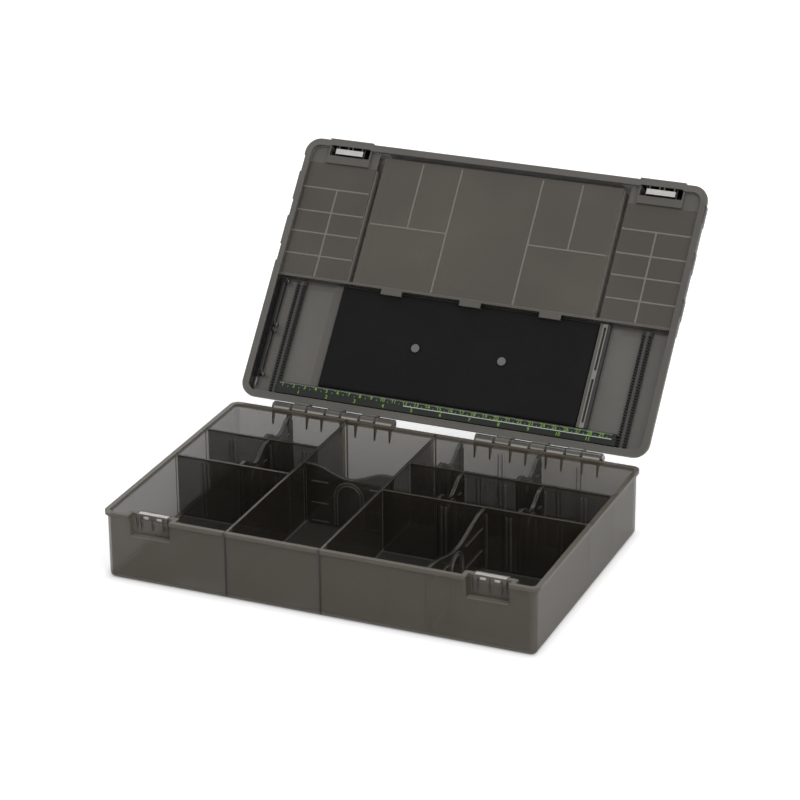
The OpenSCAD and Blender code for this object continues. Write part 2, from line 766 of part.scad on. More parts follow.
// Openings over the trays; they run out over the step.
module door_cuts() {
    open = [deck_h - lid_wall - over, deck_h + over];
    lid_block([-centre_door - door_gap, centre_door + door_gap],
              [pan_d - over, centre_front - tray_wall], open);
    for (s = [0, 1]) mirror([s, 0, 0])
        lid_block([side_door[0] - door_gap, side_door[1] + door_gap],
                  [pan_d - over, side_door_front + door_gap], open);
}

// Where a door's hinges start: one in the middle, and one near each end of a wide door.
function hinge_spots(x_from, x_to) =
    let (middle = (x_from + x_to - door_hinge_w) / 2)
    x_to - x_from < 4 * door_hinge_w ? [middle]
        : [x_from + door_hinge_in, middle, x_to - door_hinge_in - door_hinge_w];

module lid_door_knuckles(x_from, x_to) {
    arm = pan_d - door_axis_v + 0.5;
    for (x = hinge_spots(x_from, x_to), i = [0, 2])
        translate([0, -door_axis_v, door_axis_t])
            plate_x(x + i * door_knuckle_w, x + (i + 1) * door_knuckle_w) {
                circle(door_knuckle_r);
                translate([-arm, -door_knuckle_r]) square([arm, door_knuckle_r]);
            }
}

// Plan of one finger grip: from x_from out to x_to, with rounded outer corners.
module grip_plan(x_from, x_to, length) {
    r = (x_to - x_from) / 2;
    translate([x_from, -length / 2]) square([r, length]);
    translate([x_from, r - length / 2]) square([2 * r, length - 2 * r]);
    for (s = [-1, 1]) translate([x_from + r, s * (length / 2 - r)]) circle(r);
}

// The pads under the cut-back flange, rounded towards the lid's upper side.
module grips() {
    face = box_w / 2 - 0.2;
    root = lid_outer - lid_wall / 2;
    module pad() {
        intersection() {
            linear_extrude(grip_h) grip_plan(root, face, grip_l + 2);
            rotate([90, 0, 0]) linear_extrude(grip_l + 2 * over, center = true) difference() {
                translate([root, flange_h - 0.5]) square([face - root, grip_h]);
                translate([face - lid_flange_out, grip_h - lid_flange_out]) difference() {
                    square(lid_flange_out + over);
                    circle(lid_flange_out);
                }
            }
        }
    }
    for (s = [0, 1], i = [-1:1]) mirror([s, 0, 0]) translate([0, -grip_v - i * grip_pitch, 0]) pad();
}

// What is cut back of the flange at the finger grips.
module grip_cuts() {
    for (s = [0, 1], i = [-1:1]) mirror([s, 0, 0]) translate([0, -grip_v - i * grip_pitch, -over])
        linear_extrude(flange_h + over - 0.5) difference() {
            translate([box_w / 2 - grip_cut, -grip_l / 2]) square([grip_cut + over, grip_l]);
            for (e = [-1, 1]) translate([box_w / 2, e * grip_l / 2]) circle(grip_cut);
        }
}

module clip_tabs() {
    for (i = [-1:1]) {
        x = [i * tab_pitch - tab_w / 2, i * tab_pitch + tab_w / 2];
        lid_block(x, [pan_d - tab_reach, pan_d + 0.5], [tray_floor, tray_floor + tray_wall]);
        lid_block(x, [pan_d - tab_reach, pan_d - tab_reach + tab_t], [tray_floor, foam_top - seat]);
    }
}

// The raised front half of the lid.
module lid_shell() {
    frame_half = pocket_w / 2 + 1.5;
    color(smoke) in_lid() {
        difference() {
            union() {
                lid_deck();
                lid_bands();
                for (s = [0, 1]) mirror([s, 0, 0]) pocket_frame();
            }
            door_cuts();
            grip_cuts();
            for (s = [0, 1]) mirror([s, 0, 0]) pocket_cut();
        }
        for (s = [0, 1]) mirror([s, 0, 0]) {
            pocket_ribs();
            lid_block([magnet_x - frame_half, magnet_x + frame_half],
                      [box_d - 1, box_d + 1.3], [0, flange_h]);
        }
        grips();
    }
}

// The step between the lid's halves, with the doors' hinges behind it and the tabs of the rig board.
module lid_step() {
    v = [pan_d, tray_rear];
    color(smoke) in_lid() difference() {
        union() {
            lid_block([-side_inner, side_inner], v, [tray_floor, grid_top - edge_room]);
            lid_block([edge_room - side_inner, side_inner - edge_room], v, [tray_floor, grid_top]);
            for (s = [0, 1]) mirror([s, 0, 0]) lid_door_knuckles(side_door[0], side_door[1]);
            lid_door_knuckles(-centre_door, centre_door);
            clip_tabs();
        }
        rod(door_pin_r + pin_gap, -box_w / 2, box_w / 2, -door_axis_v, door_axis_t);
    }
}

module lid_magnet(side) {
    x = side * magnet_x;
    v = box_d - magnet_in;
    color(steel) in_lid()
        lid_block([x - magnet_l / 2, x + magnet_l / 2], [v - magnet_t / 2, v + magnet_t / 2],
                  [magnet_drop, magnet_drop + magnet_h]);
}

// ---------------------------------------------------------------- doors

module door(x_from, x_to, v_to) {
    plate = [deck_h - door_t, deck_h];
    arm = door_rear - door_axis_v + 1;
    middle = (x_from + x_to) / 2;
    color(smoke) in_lid() difference() {
        union() {
            lid_block([x_from, x_to], [door_rear, v_to], plate);
            lid_block([middle - door_lip_l / 2, middle + door_lip_l / 2], [v_to - 3, v_to],
                      [deck_h, deck_h + 1]);
            for (x = hinge_spots(x_from, x_to))
                translate([0, -door_axis_v, door_axis_t])
                    plate_x(x + door_knuckle_w + knuckle_gap, x + 2 * door_knuckle_w - knuckle_gap) {
                        circle(door_knuckle_r);
                        translate([-arm, deck_h - door_t - door_axis_t]) square([arm, door_t - 0.4]);
                    }
        }
        rod(door_pin_r + pin_gap, x_from, x_to, -door_axis_v, door_axis_t);
    }
}

module door_pin(x_from, x_to) {
    spots = hinge_spots(x_from, x_to);
    end = spots[len(spots) - 1] + door_hinge_w;
    color(steel) in_lid() rod(door_pin_r, spots[0] + 0.2, end - 0.2, -door_axis_v, door_axis_t);
}

// ---------------------------------------------------------------- inside the lid

module rig_board() {
    length = [board_from, pan_d - 1];
    rail = [board_half - rail_w, board_half];
    half = (length[1] - length[0]) / 2;
    middle = board_half - rail_w / 2;
    color(smoke) in_lid() difference() {
        union() {
            lid_block([-board_half, board_half], length, [board_top - board_t, board_top]);
            lid_block(rail, length, [foam_top + 0.4, board_top]);
        }
        for (from = [length[0] + rail_slot_in, length[0] + rail_slot_in + half])
            lid_block([middle - rail_slot_w / 2, middle + rail_slot_w / 2],
                      [from, from + half - rail_slot_rest], [foam_top - over, board_top + over]);
        stem_holes();
    }
}

module foam_pad() {
    color(black) in_lid() difference() {
        lid_block([-foam_left, foam_right], [board_from + 0.5, pan_d - 1.5], [foam_top, board_top - board_t]);
        stem_holes();
    }
}

// Holes for the buttons' stems, through the foam and the board.
module stem_holes() {
    for (s = [-1, 1])
        translate([s * button_x, -button_v, foam_top - over]) cylinder(r = stem_r + pin_gap, h = pan_h);
}

module foam_button(side) {
    color([0.45, 0.45, 0.44]) in_lid() translate([side * button_x, -button_v, 0]) {
        translate([0, 0, foam_top - button_t]) cylinder(d = button_d, h = button_t);
        translate([0, 0, foam_top - button_t / 2]) cylinder(r = stem_r, h = board_top - foam_top);
    }
}

module comb(side) {
    x = [comb_x - comb_w / 2, comb_x + comb_w / 2];
    v = [comb_from, pan_d - 1.5];
    base = [board_top - 2, board_top];
    tip = [board_top - 4.2, board_top - 1.9];
    tooth_w = comb_w * 0.3;
    teeth = floor((v[1] - v[0] - 2) / tooth_pitch);
    color(black) in_lid() mirror([side < 0 ? 1 : 0, 0, 0]) {
        lid_block(x, v, base);
        for (i = [0:teeth - 1], row = [x[0], x[1] - tooth_w])
            lid_block([row, row + tooth_w],
                      [v[0] + 1 + i * tooth_pitch, v[0] + 1 + (i + 0.5) * tooth_pitch], tip);
    }
}

// A bar with an open round hook at each end.
module tool_clip(v_from) {
    x = clip_in - side_inner;
    hook_r = clip_t * 1.2;
    color(black) in_lid() {
        lid_block([x, x + clip_t], [v_from, v_from + clip_l], [board_top - clip_t - 1, board_top]);
        for (v = [v_from + clip_t / 2, v_from + clip_l - clip_t / 2])
            translate([x + clip_t + 2.5, -v, board_top - clip_t - 1]) rotate([90, 0, 0])
                linear_extrude(clip_t, center = true) difference() {
                    circle(hook_r);
                    circle(hook_r - 1.5);
                    translate([0, -2 * hook_r]) square([2 * hook_r, 4 * hook_r]);
                }
    }
}

module ruler_strip() {
    x = [comb_w / 2 - comb_x + seat, comb_x - comb_w / 2 - seat];
    v = [ruler_from, ruler_from + ruler_w];
    t = [ruler_face, board_top];
    color(black) in_lid() {
        lid_block(x, v, [t[0], t[0] + ruler_t]);
        for (e = [v[0], v[1] - ruler_t]) lid_block(x, [e, e + ruler_t], t);
    }
}

base_tray();
tray_hinge(-1);  // hinge_tray_left
tray_hinge(1);  // hinge_tray_right
hinge_pin(-1);  // hinge_pin_left
hinge_pin(1);  // hinge_pin_right
lid_shell();
lid_rear();
lid_step();
lid_hinge(-1);  // hinge_lid_left
lid_hinge(1);  // hinge_lid_right
side_floor(-1);  // lid_floor_left
centre_floor();  // lid_floor_centre
side_floor(1);  // lid_floor_right
side_grid(-1);  // lid_grid_left
centre_grid();  // lid_grid_centre
side_grid(1);  // lid_grid_right
door(-side_door[1], -side_door[0], side_door_front);  // door_left
door(-centre_door, centre_door, centre_door_front);  // door_centre
door(side_door[0], side_door[1], side_door_front);  // door_right
door_pin(-side_door[1], -side_door[0]);  // door_pin_left
door_pin(-centre_door, centre_door);  // door_pin_centre
door_pin(side_door[0], side_door[1]);  // door_pin_right
tray_magnet(-1);  // magnet_tray_left
tray_magnet(1);  // magnet_tray_right
lid_magnet(-1);  // magnet_lid_left
lid_magnet(1);  // magnet_lid_right
row_divider(left_rear_slot, 0);  // divider_left_rear
row_divider(left_slots[1], 1);  // divider_left_mid
middle_divider();  // divider_middle
row_divider(rear_slots[0], 0);  // divider_right_rear_1
row_divider(rear_slots[2], 0);  // divider_right_rear_2
row_divider(mid_slots[0], 1);  // divider_right_mid_1
row_divider(mid_slots[2], 1);  // divider_right_mid_2
row_divider(front_slots[1], 2);  // divider_right_front
rig_board();
foam_pad();
foam_button(-1);  // foam_button_left
foam_button(1);  // foam_button_right
comb(-1);  // comb_left
comb(1);  // comb_right
tool_clip(pan_d - 2 * (clip_l + clip_gap));  // tool_clip_rear
tool_clip(pan_d - clip_l - clip_gap);  // tool_clip_front
ruler_strip();
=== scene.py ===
"""Finishes, ruler print, foam and studio for a flat, open tackle box of smoked plastic."""

import json
import math

import bmesh
import bpy
from mathutils import Matrix, Vector, noise


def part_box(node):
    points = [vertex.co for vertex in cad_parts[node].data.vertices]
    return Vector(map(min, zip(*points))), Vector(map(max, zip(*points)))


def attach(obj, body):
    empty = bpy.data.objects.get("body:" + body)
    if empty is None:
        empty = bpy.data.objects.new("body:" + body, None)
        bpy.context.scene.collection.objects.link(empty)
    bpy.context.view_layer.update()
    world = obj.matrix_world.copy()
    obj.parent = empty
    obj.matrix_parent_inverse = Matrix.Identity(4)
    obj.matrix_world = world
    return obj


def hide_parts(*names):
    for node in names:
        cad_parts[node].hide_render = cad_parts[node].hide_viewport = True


bl_info = {
    "name": "Tackle Box Dressing",
    "version": (1, 0, 0),
    "blender": (4, 5, 0),
    "location": "3D View > Sidebar > Tackle Box",
    "description": "Dresses the tackle box with smoked plastic, foam, fittings and a printed ruler",
    "category": "Add Mesh",
}

MM = 0.001
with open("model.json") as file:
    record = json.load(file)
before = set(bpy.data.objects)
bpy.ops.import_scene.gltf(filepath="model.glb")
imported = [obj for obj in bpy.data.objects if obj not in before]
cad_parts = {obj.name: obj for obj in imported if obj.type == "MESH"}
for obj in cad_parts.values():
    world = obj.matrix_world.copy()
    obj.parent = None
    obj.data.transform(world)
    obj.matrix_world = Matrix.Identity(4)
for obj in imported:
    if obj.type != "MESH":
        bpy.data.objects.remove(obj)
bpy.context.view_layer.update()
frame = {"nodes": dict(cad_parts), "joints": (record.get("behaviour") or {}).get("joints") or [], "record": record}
NODES = frame["nodes"]

# The lid's own frame: its hinge, how far it is open, and where the closed rim lies about the hinge.
LID_JOINT = next(j for j in frame["joints"] if j["name"] == "lid_hinge")
HINGE = Vector(LID_JOINT["pos_m"])
LID_OPEN = -math.radians(LID_JOINT["range_deg"][0])
RIM_BEHIND = 5.5 * MM
RIM_ABOVE = 1.1 * MM

# Marks in the tray's plastic: distances from the faces of its walls and from its rim.
WALL_SKIN = 0.3 * MM
WALL_DEEP = 5.0 * MM
ROOT_HALF = 0.7 * MM
FLOOR_TOP = 2.4 * MM
FLANGE_H = 3.1 * MM
REAR_SHADE_FADE = 100.0 * MM
HOUSING_HALF = 19.0 * MM
RIB_PLACES = (0.0, 9.5 * MM, 13.4 * MM)
RIB_HALF = 0.5 * MM
RIB_BELOW = 7.5 * MM
RIB_REACH = 5.0 * MM
LIP_ACROSS = 16.5 * MM
LIP_BELOW = 17.6 * MM
LIP_HALF = 0.3 * MM

# Painted shade and a painted glint on the hinges: first knuckle, pitch, joints between knuckles, and heights about
# the pin.
KNUCKLE_FROM = 35.6 * MM
KNUCKLE_PITCH = 30.45 * MM
JOINT_PLACES = (0.0, 16.5 * MM, 30.4 * MM)
JOINT_HALF = 1.0 * MM
KNUCKLE_MID = 8.2 * MM
KNUCKLE_HALF = 5.0 * MM
GLINT_ABOVE = 1.0 * MM
GLINT_HALF = 0.5 * MM
UNDER_BELOW = 1.4 * MM
TOP_ABOVE = 2.5 * MM

# Marks in the lid's plastic, in the lid's own frame: painted shade in the pockets and on the inner walls, painted
# light in the grooves and on the ridges, a painted shadow by the rail.
POCKET_SIDE = 5.4 * MM
POCKET_REAR = 1.4 * MM
POCKET_FRONT = 3.6 * MM
POCKET_TOP = -1.2 * MM
SIDE_FACE = 7.1 * MM
SIDE_HALF = 1.5 * MM
HINGE_FACE = 5.6 * MM
HINGE_FACE_HALF = 0.35 * MM
PAN_TOP = -1.8 * MM
PAN_BOTTOM = -12.6 * MM
PAN_SHORT = 1.0 * MM
GROOVE_AT = 109.0 * MM
GROOVE_HALF = 4.7 * MM
GROOVE_REAR = 2.0 * MM
GROOVE_FRONT = 5.7 * MM
GROOVE_TOP = -3.7 * MM
GROOVE_BOTTOM = -20.0 * MM
RAIL_W = 6.2 * MM
RAIL_EDGE = 2.4 * MM
COMB_TEETH = 2.1 * MM
COMB_AT = 152.7 * MM
COMB_HALF = 1.3 * MM
RIDGE_H = 0.12 * MM

# The ruler's print, about the middle of its strip.
CENTIMETRE = 10.0 * MM
INCH = 25.4 * MM
CM_ROW = 2.4 * MM
INCH_ROW = 2.6 * MM
HALF_ROW = 1.4 * MM
HALF_MARK = (0.35 * MM, 1.2 * MM)
END_MARKS = 2
TALL_MARK = 1.5 * MM
SHORT_MARK = 0.9 * MM
MARKS_TOP = 4.5 * MM
MARK_W = 0.22 * MM
LINE_AT = 55.0 * MM
LINE_ROW = 0.2 * MM
LINE_L = 180.0 * MM
LINE_W = 0.7 * MM
TEXT_SIZE = 1.35

# Colours of the marks in the plastic, most of them painted light and painted shade.
DEEP_SHADE_TONE = (0.006, 0.005, 0.004)
OUTER_LIT_TONE = (0.080, 0.068, 0.052)
REAR_GLOW_TONE = (0.100, 0.083, 0.058)
SIDE_LIT_TONE = (0.094, 0.082, 0.064)
LIP_HIGHLIGHT_TONE = (0.13, 0.12, 0.10)
POCKET_SHADE_TONE = (0.004, 0.004, 0.004)
GLINT_TONE = (0.26, 0.245, 0.22)
UNDER_SHADE_TONE = (0.008, 0.007, 0.005)
JOINT_SHADE_TONE = (0.003, 0.003, 0.002)
INNER_SHADE_TONE = (0.005, 0.005, 0.004)
GROOVE_LIGHT_TONE = (0.30, 0.28, 0.25)
RAIL_TONE = (0.17, 0.165, 0.15)
RAIL_SHADOW_TONE = (0.008, 0.008, 0.007)
COMB_MIDDLE_TONE = (0.075, 0.073, 0.068)
COMB_BED_TONE = (0.028, 0.027, 0.025)
RIDGE_LIGHT_TONE = (0.15, 0.14, 0.125)
DUST_TONE = (0.42, 0.41, 0.39)

# How much of the light each face stops under those marks.
REAR_SHADE_COVER = (0.58, 0.67)
SIDE_COVER = 0.62
ROOT_COVER = 0.93
FLOOR_COVER = 0.88
FLANGE_COVER = 0.85
RIB_COVER = 0.95
LIP_COVER = 0.9
KNUCKLE_COVER = 0.98
INNER_COVER = 0.94
RAIL_COVER = 0.95
RAIL_SHADOW_COVER = 0.97

# Colours of the fittings and metals.
BLACK = (0.007, 0.007, 0.007)
RULER_BLACK = (0.018, 0.020, 0.018)
BUTTON_GREY = (0.10, 0.10, 0.098)
RULER_PALE = (0.42, 0.47, 0.42)
STEEL = (0.30, 0.29, 0.28)
NICKEL = (0.50, 0.49, 0.47)

# The studio: each lamp's name, place, aim, size and power, then the world, floor and camera.
LAMPS = (
    ("key", (1.5, -1.0, 1.3), (0.0, 0.05, 0.08), 1.2, 24.0),
    ("fill", (-1.7, -0.9, 0.7), (0.0, 0.0, 0.05), 1.0, 10.0),
    ("top", (0.2, 0.9, 2.1), (0.0, 0.1, 0.05), 1.6, 16.0),
)
WORLD_LIGHT = 0.50
FLOOR_GLOW = 0.45
FLOOR_SHADOW_FADE = (-10.0 * MM, 6.0 * MM)
FLOOR_HALF = 6.0
SENSOR_W = 36.0
VIEW_END = 50.0


def lid_point(x, forward, height):
    """A point of the lid: along the hinge, forward from the hinge-side rim, and above the rim."""
    closed = Vector((0.0, -forward - RIM_BEHIND, height + RIM_ABOVE))
    turned = Matrix.Rotation(-LID_OPEN, 3, "X") @ closed
    return Vector((x, HINGE.y + turned.y, HINGE.z + turned.z))


def lid_place(x, forward, height):
    """Matrix of a thing on the lid: X along the hinge, Y up the lid, Z out of its inner face."""
    origin = lid_point(x, forward, height)
    across = Vector((1.0, 0.0, 0.0))
    up = (lid_point(x, forward + MM, height) - origin).normalized()
    out = across.cross(up)
    return Matrix.Translation(origin) @ Matrix((across, up, out)).transposed().to_4x4()


def lid_extent(name):
    """Lowest and highest corners of a CAD node in the lid's own directions, as in lid_place."""
    inverse = lid_place(0.0, 0.0, 0.0).inverted()
    corners = [inverse @ v.co for v in NODES[name].data.vertices]
    return (Vector([min(c[i] for c in corners) for i in range(3)]),
            Vector([max(c[i] for c in corners) for i in range(3)]))


# ------------------------------------------------------------------ settings


class FinishSettings(bpy.types.PropertyGroup):
    """Colours and surface values of the box's plastics."""

    smoke: bpy.props.FloatVectorProperty(
        name="Smoked plastic", description="Colour that the tray's plastic scatters",
        default=(0.021, 0.018, 0.013), subtype="COLOR", min=0.0, max=1.0)
    smoke_lid: bpy.props.FloatVectorProperty(
        name="Lid plastic", description="Colour that the lid's plastic scatters",
        default=(0.078, 0.072, 0.062), subtype="COLOR", min=0.0, max=1.0)
    smoke_floors: bpy.props.FloatVectorProperty(
        name="Lid floors", description="Colour that the floors of the lid's trays scatter",
        default=(0.062, 0.054, 0.042), subtype="COLOR", min=0.0, max=1.0)
    # Painted highlight: the lighter colour laid over the moulded edges.
    edge_tone: bpy.props.FloatVectorProperty(
        name="Edge tone",
        description="Colour of the plastic's moulded edges, where it scatters more light",
        default=(0.30, 0.29, 0.26), subtype="COLOR", min=0.0, max=1.0)
    tray_cover: bpy.props.FloatProperty(
        name="Tray cover", description="How much of the light each face of a tray wall stops",
        default=0.56, min=0.0, max=1.0, subtype="FACTOR")
    lid_cover: bpy.props.FloatProperty(
        name="Lid cover", description="How much of the light each face of a lid wall stops",
        default=0.88, min=0.0, max=1.0, subtype="FACTOR")
    edge_round: bpy.props.FloatProperty(
        name="Edge rounding", description="Radius that the moulded edges are shaded with",
        default=0.5 * MM, min=0.0, max=2.0 * MM, subtype="DISTANCE", unit="LENGTH")
    foam: bpy.props.FloatVectorProperty(
        name="Foam", description="Colour of the rig foam",
        default=(0.0055, 0.0055, 0.0055), subtype="COLOR", min=0.0, max=1.0)
    print_green: bpy.props.FloatVectorProperty(
        name="Ruler print", description="Colour of the ruler's figures",
        default=(0.21, 0.42, 0.04), subtype="COLOR", min=0.0, max=1.0)


class RulerSettings(bpy.types.PropertyGroup):
    """Sizes of the ruler's printed figures and marks."""

    first_x: bpy.props.FloatProperty(
        name="First figure", description="Place of the first centimetre along the hinge",
        default=-144.0 * MM, min=-150.0 * MM, max=0.0, subtype="DISTANCE", unit="LENGTH")
    centimetres: bpy.props.IntProperty(
        name="Centimetres", description="How many centimetres are marked",
        default=29, min=1, max=29)
    figure_h: bpy.props.FloatProperty(
        name="Figure height", description="Height of a printed figure",
        default=3.3 * MM, min=1.0 * MM, max=5.0 * MM, subtype="DISTANCE", unit="LENGTH")
    ink: bpy.props.FloatProperty(
        name="Ink", description="Thickness of the print",
        default=0.08 * MM, min=0.02 * MM, max=0.3 * MM, subtype="DISTANCE", unit="LENGTH")


class StageSettings(bpy.types.PropertyGroup):
    """Camera, floor and lamps."""

    azimuth: bpy.props.FloatProperty(
        name="Azimuth", description="Turn of the camera about the box",
        default=math.radians(23.06), subtype="ANGLE", unit="ROTATION")
    elevation: bpy.props.FloatProperty(
        name="Elevation", description="Height of the camera as an angle",
        default=math.radians(23.08), subtype="ANGLE", unit="ROTATION")
    roll: bpy.props.FloatProperty(
        name="Roll", description="Tilt of the picture",
        default=math.radians(-0.42), subtype="ANGLE", unit="ROTATION")
    distance: bpy.props.FloatProperty(
        name="Distance", description="Camera to its target",
        default=2332.0 * MM, min=0.5, subtype="DISTANCE", unit="LENGTH")
    target: bpy.props.FloatVectorProperty(
        name="Target", description="Point that the camera looks at",
        default=(21.2 * MM, 0.0, 134.8 * MM), subtype="XYZ", unit="LENGTH")
    lens: bpy.props.FloatProperty(
        name="Lens", description="Focal length in millimetres on a 36 mm sensor",
        default=137.4, min=20.0, max=400.0)
    floor: bpy.props.FloatVectorProperty(
        name="Floor", description="Colour of the floor",
        default=(0.80, 0.80, 0.80), subtype="COLOR", min=0.0, max=1.0)


# ------------------------------------------------------------------ shader helpers


def new_group(name, inputs, outputs):
    """An empty shader group: inputs are (name, kind, default), outputs are (name, kind)."""
    group = bpy.data.node_groups.new(name, "ShaderNodeTree")
    for label, kind, default in inputs:
        socket = group.interface.new_socket(
            name=label, in_out="INPUT", socket_type="NodeSocket" + kind)
        socket.default_value = default
    for label, kind in outputs:
        group.interface.new_socket(name=label, in_out="OUTPUT", socket_type="NodeSocket" + kind)
    group.nodes.new("NodeGroupInput")
    group.nodes.new("NodeGroupOutput")
    return group


def ends(group):
    """The input and output nodes of a shader group."""
    return group.nodes["Group Input"], group.nodes["Group Output"]


def put(tree, kind, **values):
    """Adds a node, with its properties and its input values set by name or number."""
    node = tree.nodes.new(kind)
    for key, value in values.items():
        if key.startswith("in_"):
            label = key[3:]
            label = int(label) if label.isdigit() else label.replace("_", " ")
            node.inputs[label].default_value = value
        else:
            setattr(node, key, value)
    return node


def link(tree, *pairs):
    """Links each (from socket, to socket)."""
    for source, target in pairs:
        tree.links.new(source, target)


def noise_at(tree, vector, scale, detail=2.0, rough=0.5):
    """Fac of a noise texture on the given coordinates."""
    texture = put(tree, "ShaderNodeTexNoise", in_Scale=scale, in_Detail=detail, in_Roughness=rough)
    link(tree, (vector, texture.inputs["Vector"]))
    return texture.outputs["Fac"]


def ramp(tree, value, low, high, to_low=0.0, to_high=1.0):
    """A value mapped from one range to another and held within it."""
    node = put(tree, "ShaderNodeMapRange", in_1=low, in_2=high, in_3=to_low, in_4=to_high)
    link(tree, (value, node.inputs[0]))
    return node.outputs["Result"]


def maths(tree, operation, first, second):
    """A Math node on sockets or numbers."""
    node = put(tree, "ShaderNodeMath", operation=operation)
    for i, value in enumerate((first, second)):
        if isinstance(value, (int, float)):
            node.inputs[i].default_value = value
        else:
            link(tree, (value, node.inputs[i]))
    return node.outputs[0]


def size_of(tree, value):
    """A value without its sign."""
    return maths(tree, "ABSOLUTE", value, 0.0)


def above(tree, value, limit):
    """1 where a value is greater than a limit."""
    return maths(tree, "GREATER_THAN", value, limit)


def below(tree, value, limit):
    """1 where a value is less than a limit."""
    return maths(tree, "LESS_THAN", value, limit)


def near(tree, value, centre, reach):
    """1 where a value lies within reach of a centre, fading over half as much again."""
    away = size_of(tree, maths(tree, "SUBTRACT", value, centre))
    return ramp(tree, away, reach, 1.5 * reach, 1.0, 0.0)


def most(tree, *values):
    """The greatest of several sockets."""
    result = values[0]
    for value in values[1:]:
        result = maths(tree, "MAXIMUM", result, value)
    return result


def all_of(tree, *values):
    """The product of several masks."""
    result = values[0]
    for value in values[1:]:
        result = maths(tree, "MULTIPLY", result, value)
    return result


def object_axes(tree, place=None):
    """X, Y and Z of the object's own coordinates, or of another frame by its inverse matrix."""
    vector = put(tree, "ShaderNodeTexCoord").outputs["Object"]
    if place is not None:
        turn = put(tree, "ShaderNodeMapping", in_Location=place.translation,
                   in_Rotation=place.to_euler())
        link(tree, (vector, turn.inputs["Vector"]))
        vector = turn.outputs[0]
    axes = put(tree, "ShaderNodeSeparateXYZ")
    link(tree, (vector, axes.inputs[0]))
    return axes.outputs["X"], axes.outputs["Y"], axes.outputs["Z"]


def lid_axes(tree):
    """X, forward and out of the lid's own frame, as in lid_place."""
    return object_axes(tree, lid_place(0.0, 0.0, 0.0).inverted())


def shade(colour, factor):
    """A colour made lighter or darker."""
    return tuple(factor * c for c in colour)


def mix_colour(tree, factor, first, second):
    """A colour mix; colours may be sockets or tuples."""
    node = put(tree, "ShaderNodeMix", data_type="RGBA")
    for number, value in ((0, factor), (6, first), (7, second)):
        socket = node.inputs[number]
        if isinstance(value, bpy.types.NodeSocket):
            link(tree, (value, socket))
        elif isinstance(value, (int, float)):
            socket.default_value = value
        else:
            socket.default_value = (*value[:3], 1.0)
    return node.outputs[2]


def moulded_group():
    """Moulded plastic: slow flow marks, fine orange peel, handling scuffs, settled dust, and a painted highlight
    on the rounded edges.
    """
    group = new_group(
        "moulded_plastic",
        [("Colour", "Color", (0.1, 0.1, 0.1, 1.0)), ("Edge Colour", "Color", (0.3, 0.3, 0.3, 1.0)),
         ("Roughness", "Float", 0.25), ("Flow", "Float", 0.2), ("Scuffs", "Float", 0.5),
         ("Dust", "Float", 0.2), ("Edge", "Float", 0.3), ("Radius", "Float", 0.4 * MM)],
        [("Colour", "Color"), ("Roughness", "Float"), ("Height", "Float"), ("Edge", "Float"),
         ("Normal", "Vector")])
    source, result = ends(group)
    place = put(group, "ShaderNodeTexCoord").outputs["Object"]
    flow = ramp(group, noise_at(group, place, 14.0, 3.0), 0.35, 0.65, -0.5, 0.5)
    flow = maths(group, "MULTIPLY", flow, source.outputs["Flow"])
    stretch = put(group, "ShaderNodeMapping", in_Scale=(900.0, 60.0, 900.0),
                  in_Rotation=(0.3, 0.2, 0.7))
    link(group, (place, stretch.inputs["Vector"]))
    lines = ramp(group, noise_at(group, stretch.outputs[0], 1.0, 3.0, 0.7), 0.62, 0.75)
    patches = ramp(group, noise_at(group, place, 22.0, 2.0), 0.45, 0.65)
    scuffs = all_of(group, lines, patches, source.outputs["Scuffs"])
    up = put(group, "ShaderNodeSeparateXYZ")
    link(group, (put(group, "ShaderNodeNewGeometry").outputs["Normal"], up.inputs[0]))
    speck = ramp(group, noise_at(group, place, 900.0, 2.0, 0.6), 0.66, 0.76)
    dust = maths(group, "MULTIPLY", speck, ramp(group, up.outputs["Z"], 0.5, 1.0))
    dust = maths(group, "MULTIPLY", dust, source.outputs["Dust"])
    # Painted highlight: the bevel finds the rounded edges and Edge lays the edge colour over them.
    bevel = put(group, "ShaderNodeBevel", samples=4)
    link(group, (source.outputs["Radius"], bevel.inputs["Radius"]))
    turn = put(group, "ShaderNodeVectorMath", operation="DOT_PRODUCT")
    link(group, (bevel.outputs[0], turn.inputs[0]),
         (put(group, "ShaderNodeNewGeometry").outputs["Normal"], turn.inputs[1]))
    edge = ramp(group, turn.outputs["Value"], 0.99, 0.80)
    edge = maths(group, "MULTIPLY", edge, source.outputs["Edge"])
    colour = put(group, "ShaderNodeHueSaturation")
    link(group, (source.outputs["Colour"], colour.inputs["Color"]),
         (maths(group, "ADD", flow, 1.0), colour.inputs["Value"]))
    colour = mix_colour(group, dust, colour.outputs[0], DUST_TONE)
    colour = mix_colour(group, edge, colour, source.outputs["Edge Colour"])
    rough = maths(group, "ADD", source.outputs["Roughness"], maths(group, "MULTIPLY", scuffs, 0.25))
    rough = maths(group, "ADD", rough, maths(group, "MULTIPLY", dust, 0.4))
    rough = maths(group, "ADD", rough, maths(group, "MULTIPLY", flow, 0.25))
    peel = maths(group, "MULTIPLY", noise_at(group, place, 55.0, 2.0), 0.6)
    height = maths(group, "ADD", peel, maths(group, "MULTIPLY", scuffs, -0.3))
    link(group, (colour, result.inputs["Colour"]), (rough, result.inputs["Roughness"]),
         (height, result.inputs["Height"]), (edge, result.inputs["Edge"]),
         (bevel.outputs[0], result.inputs["Normal"]))
    return group


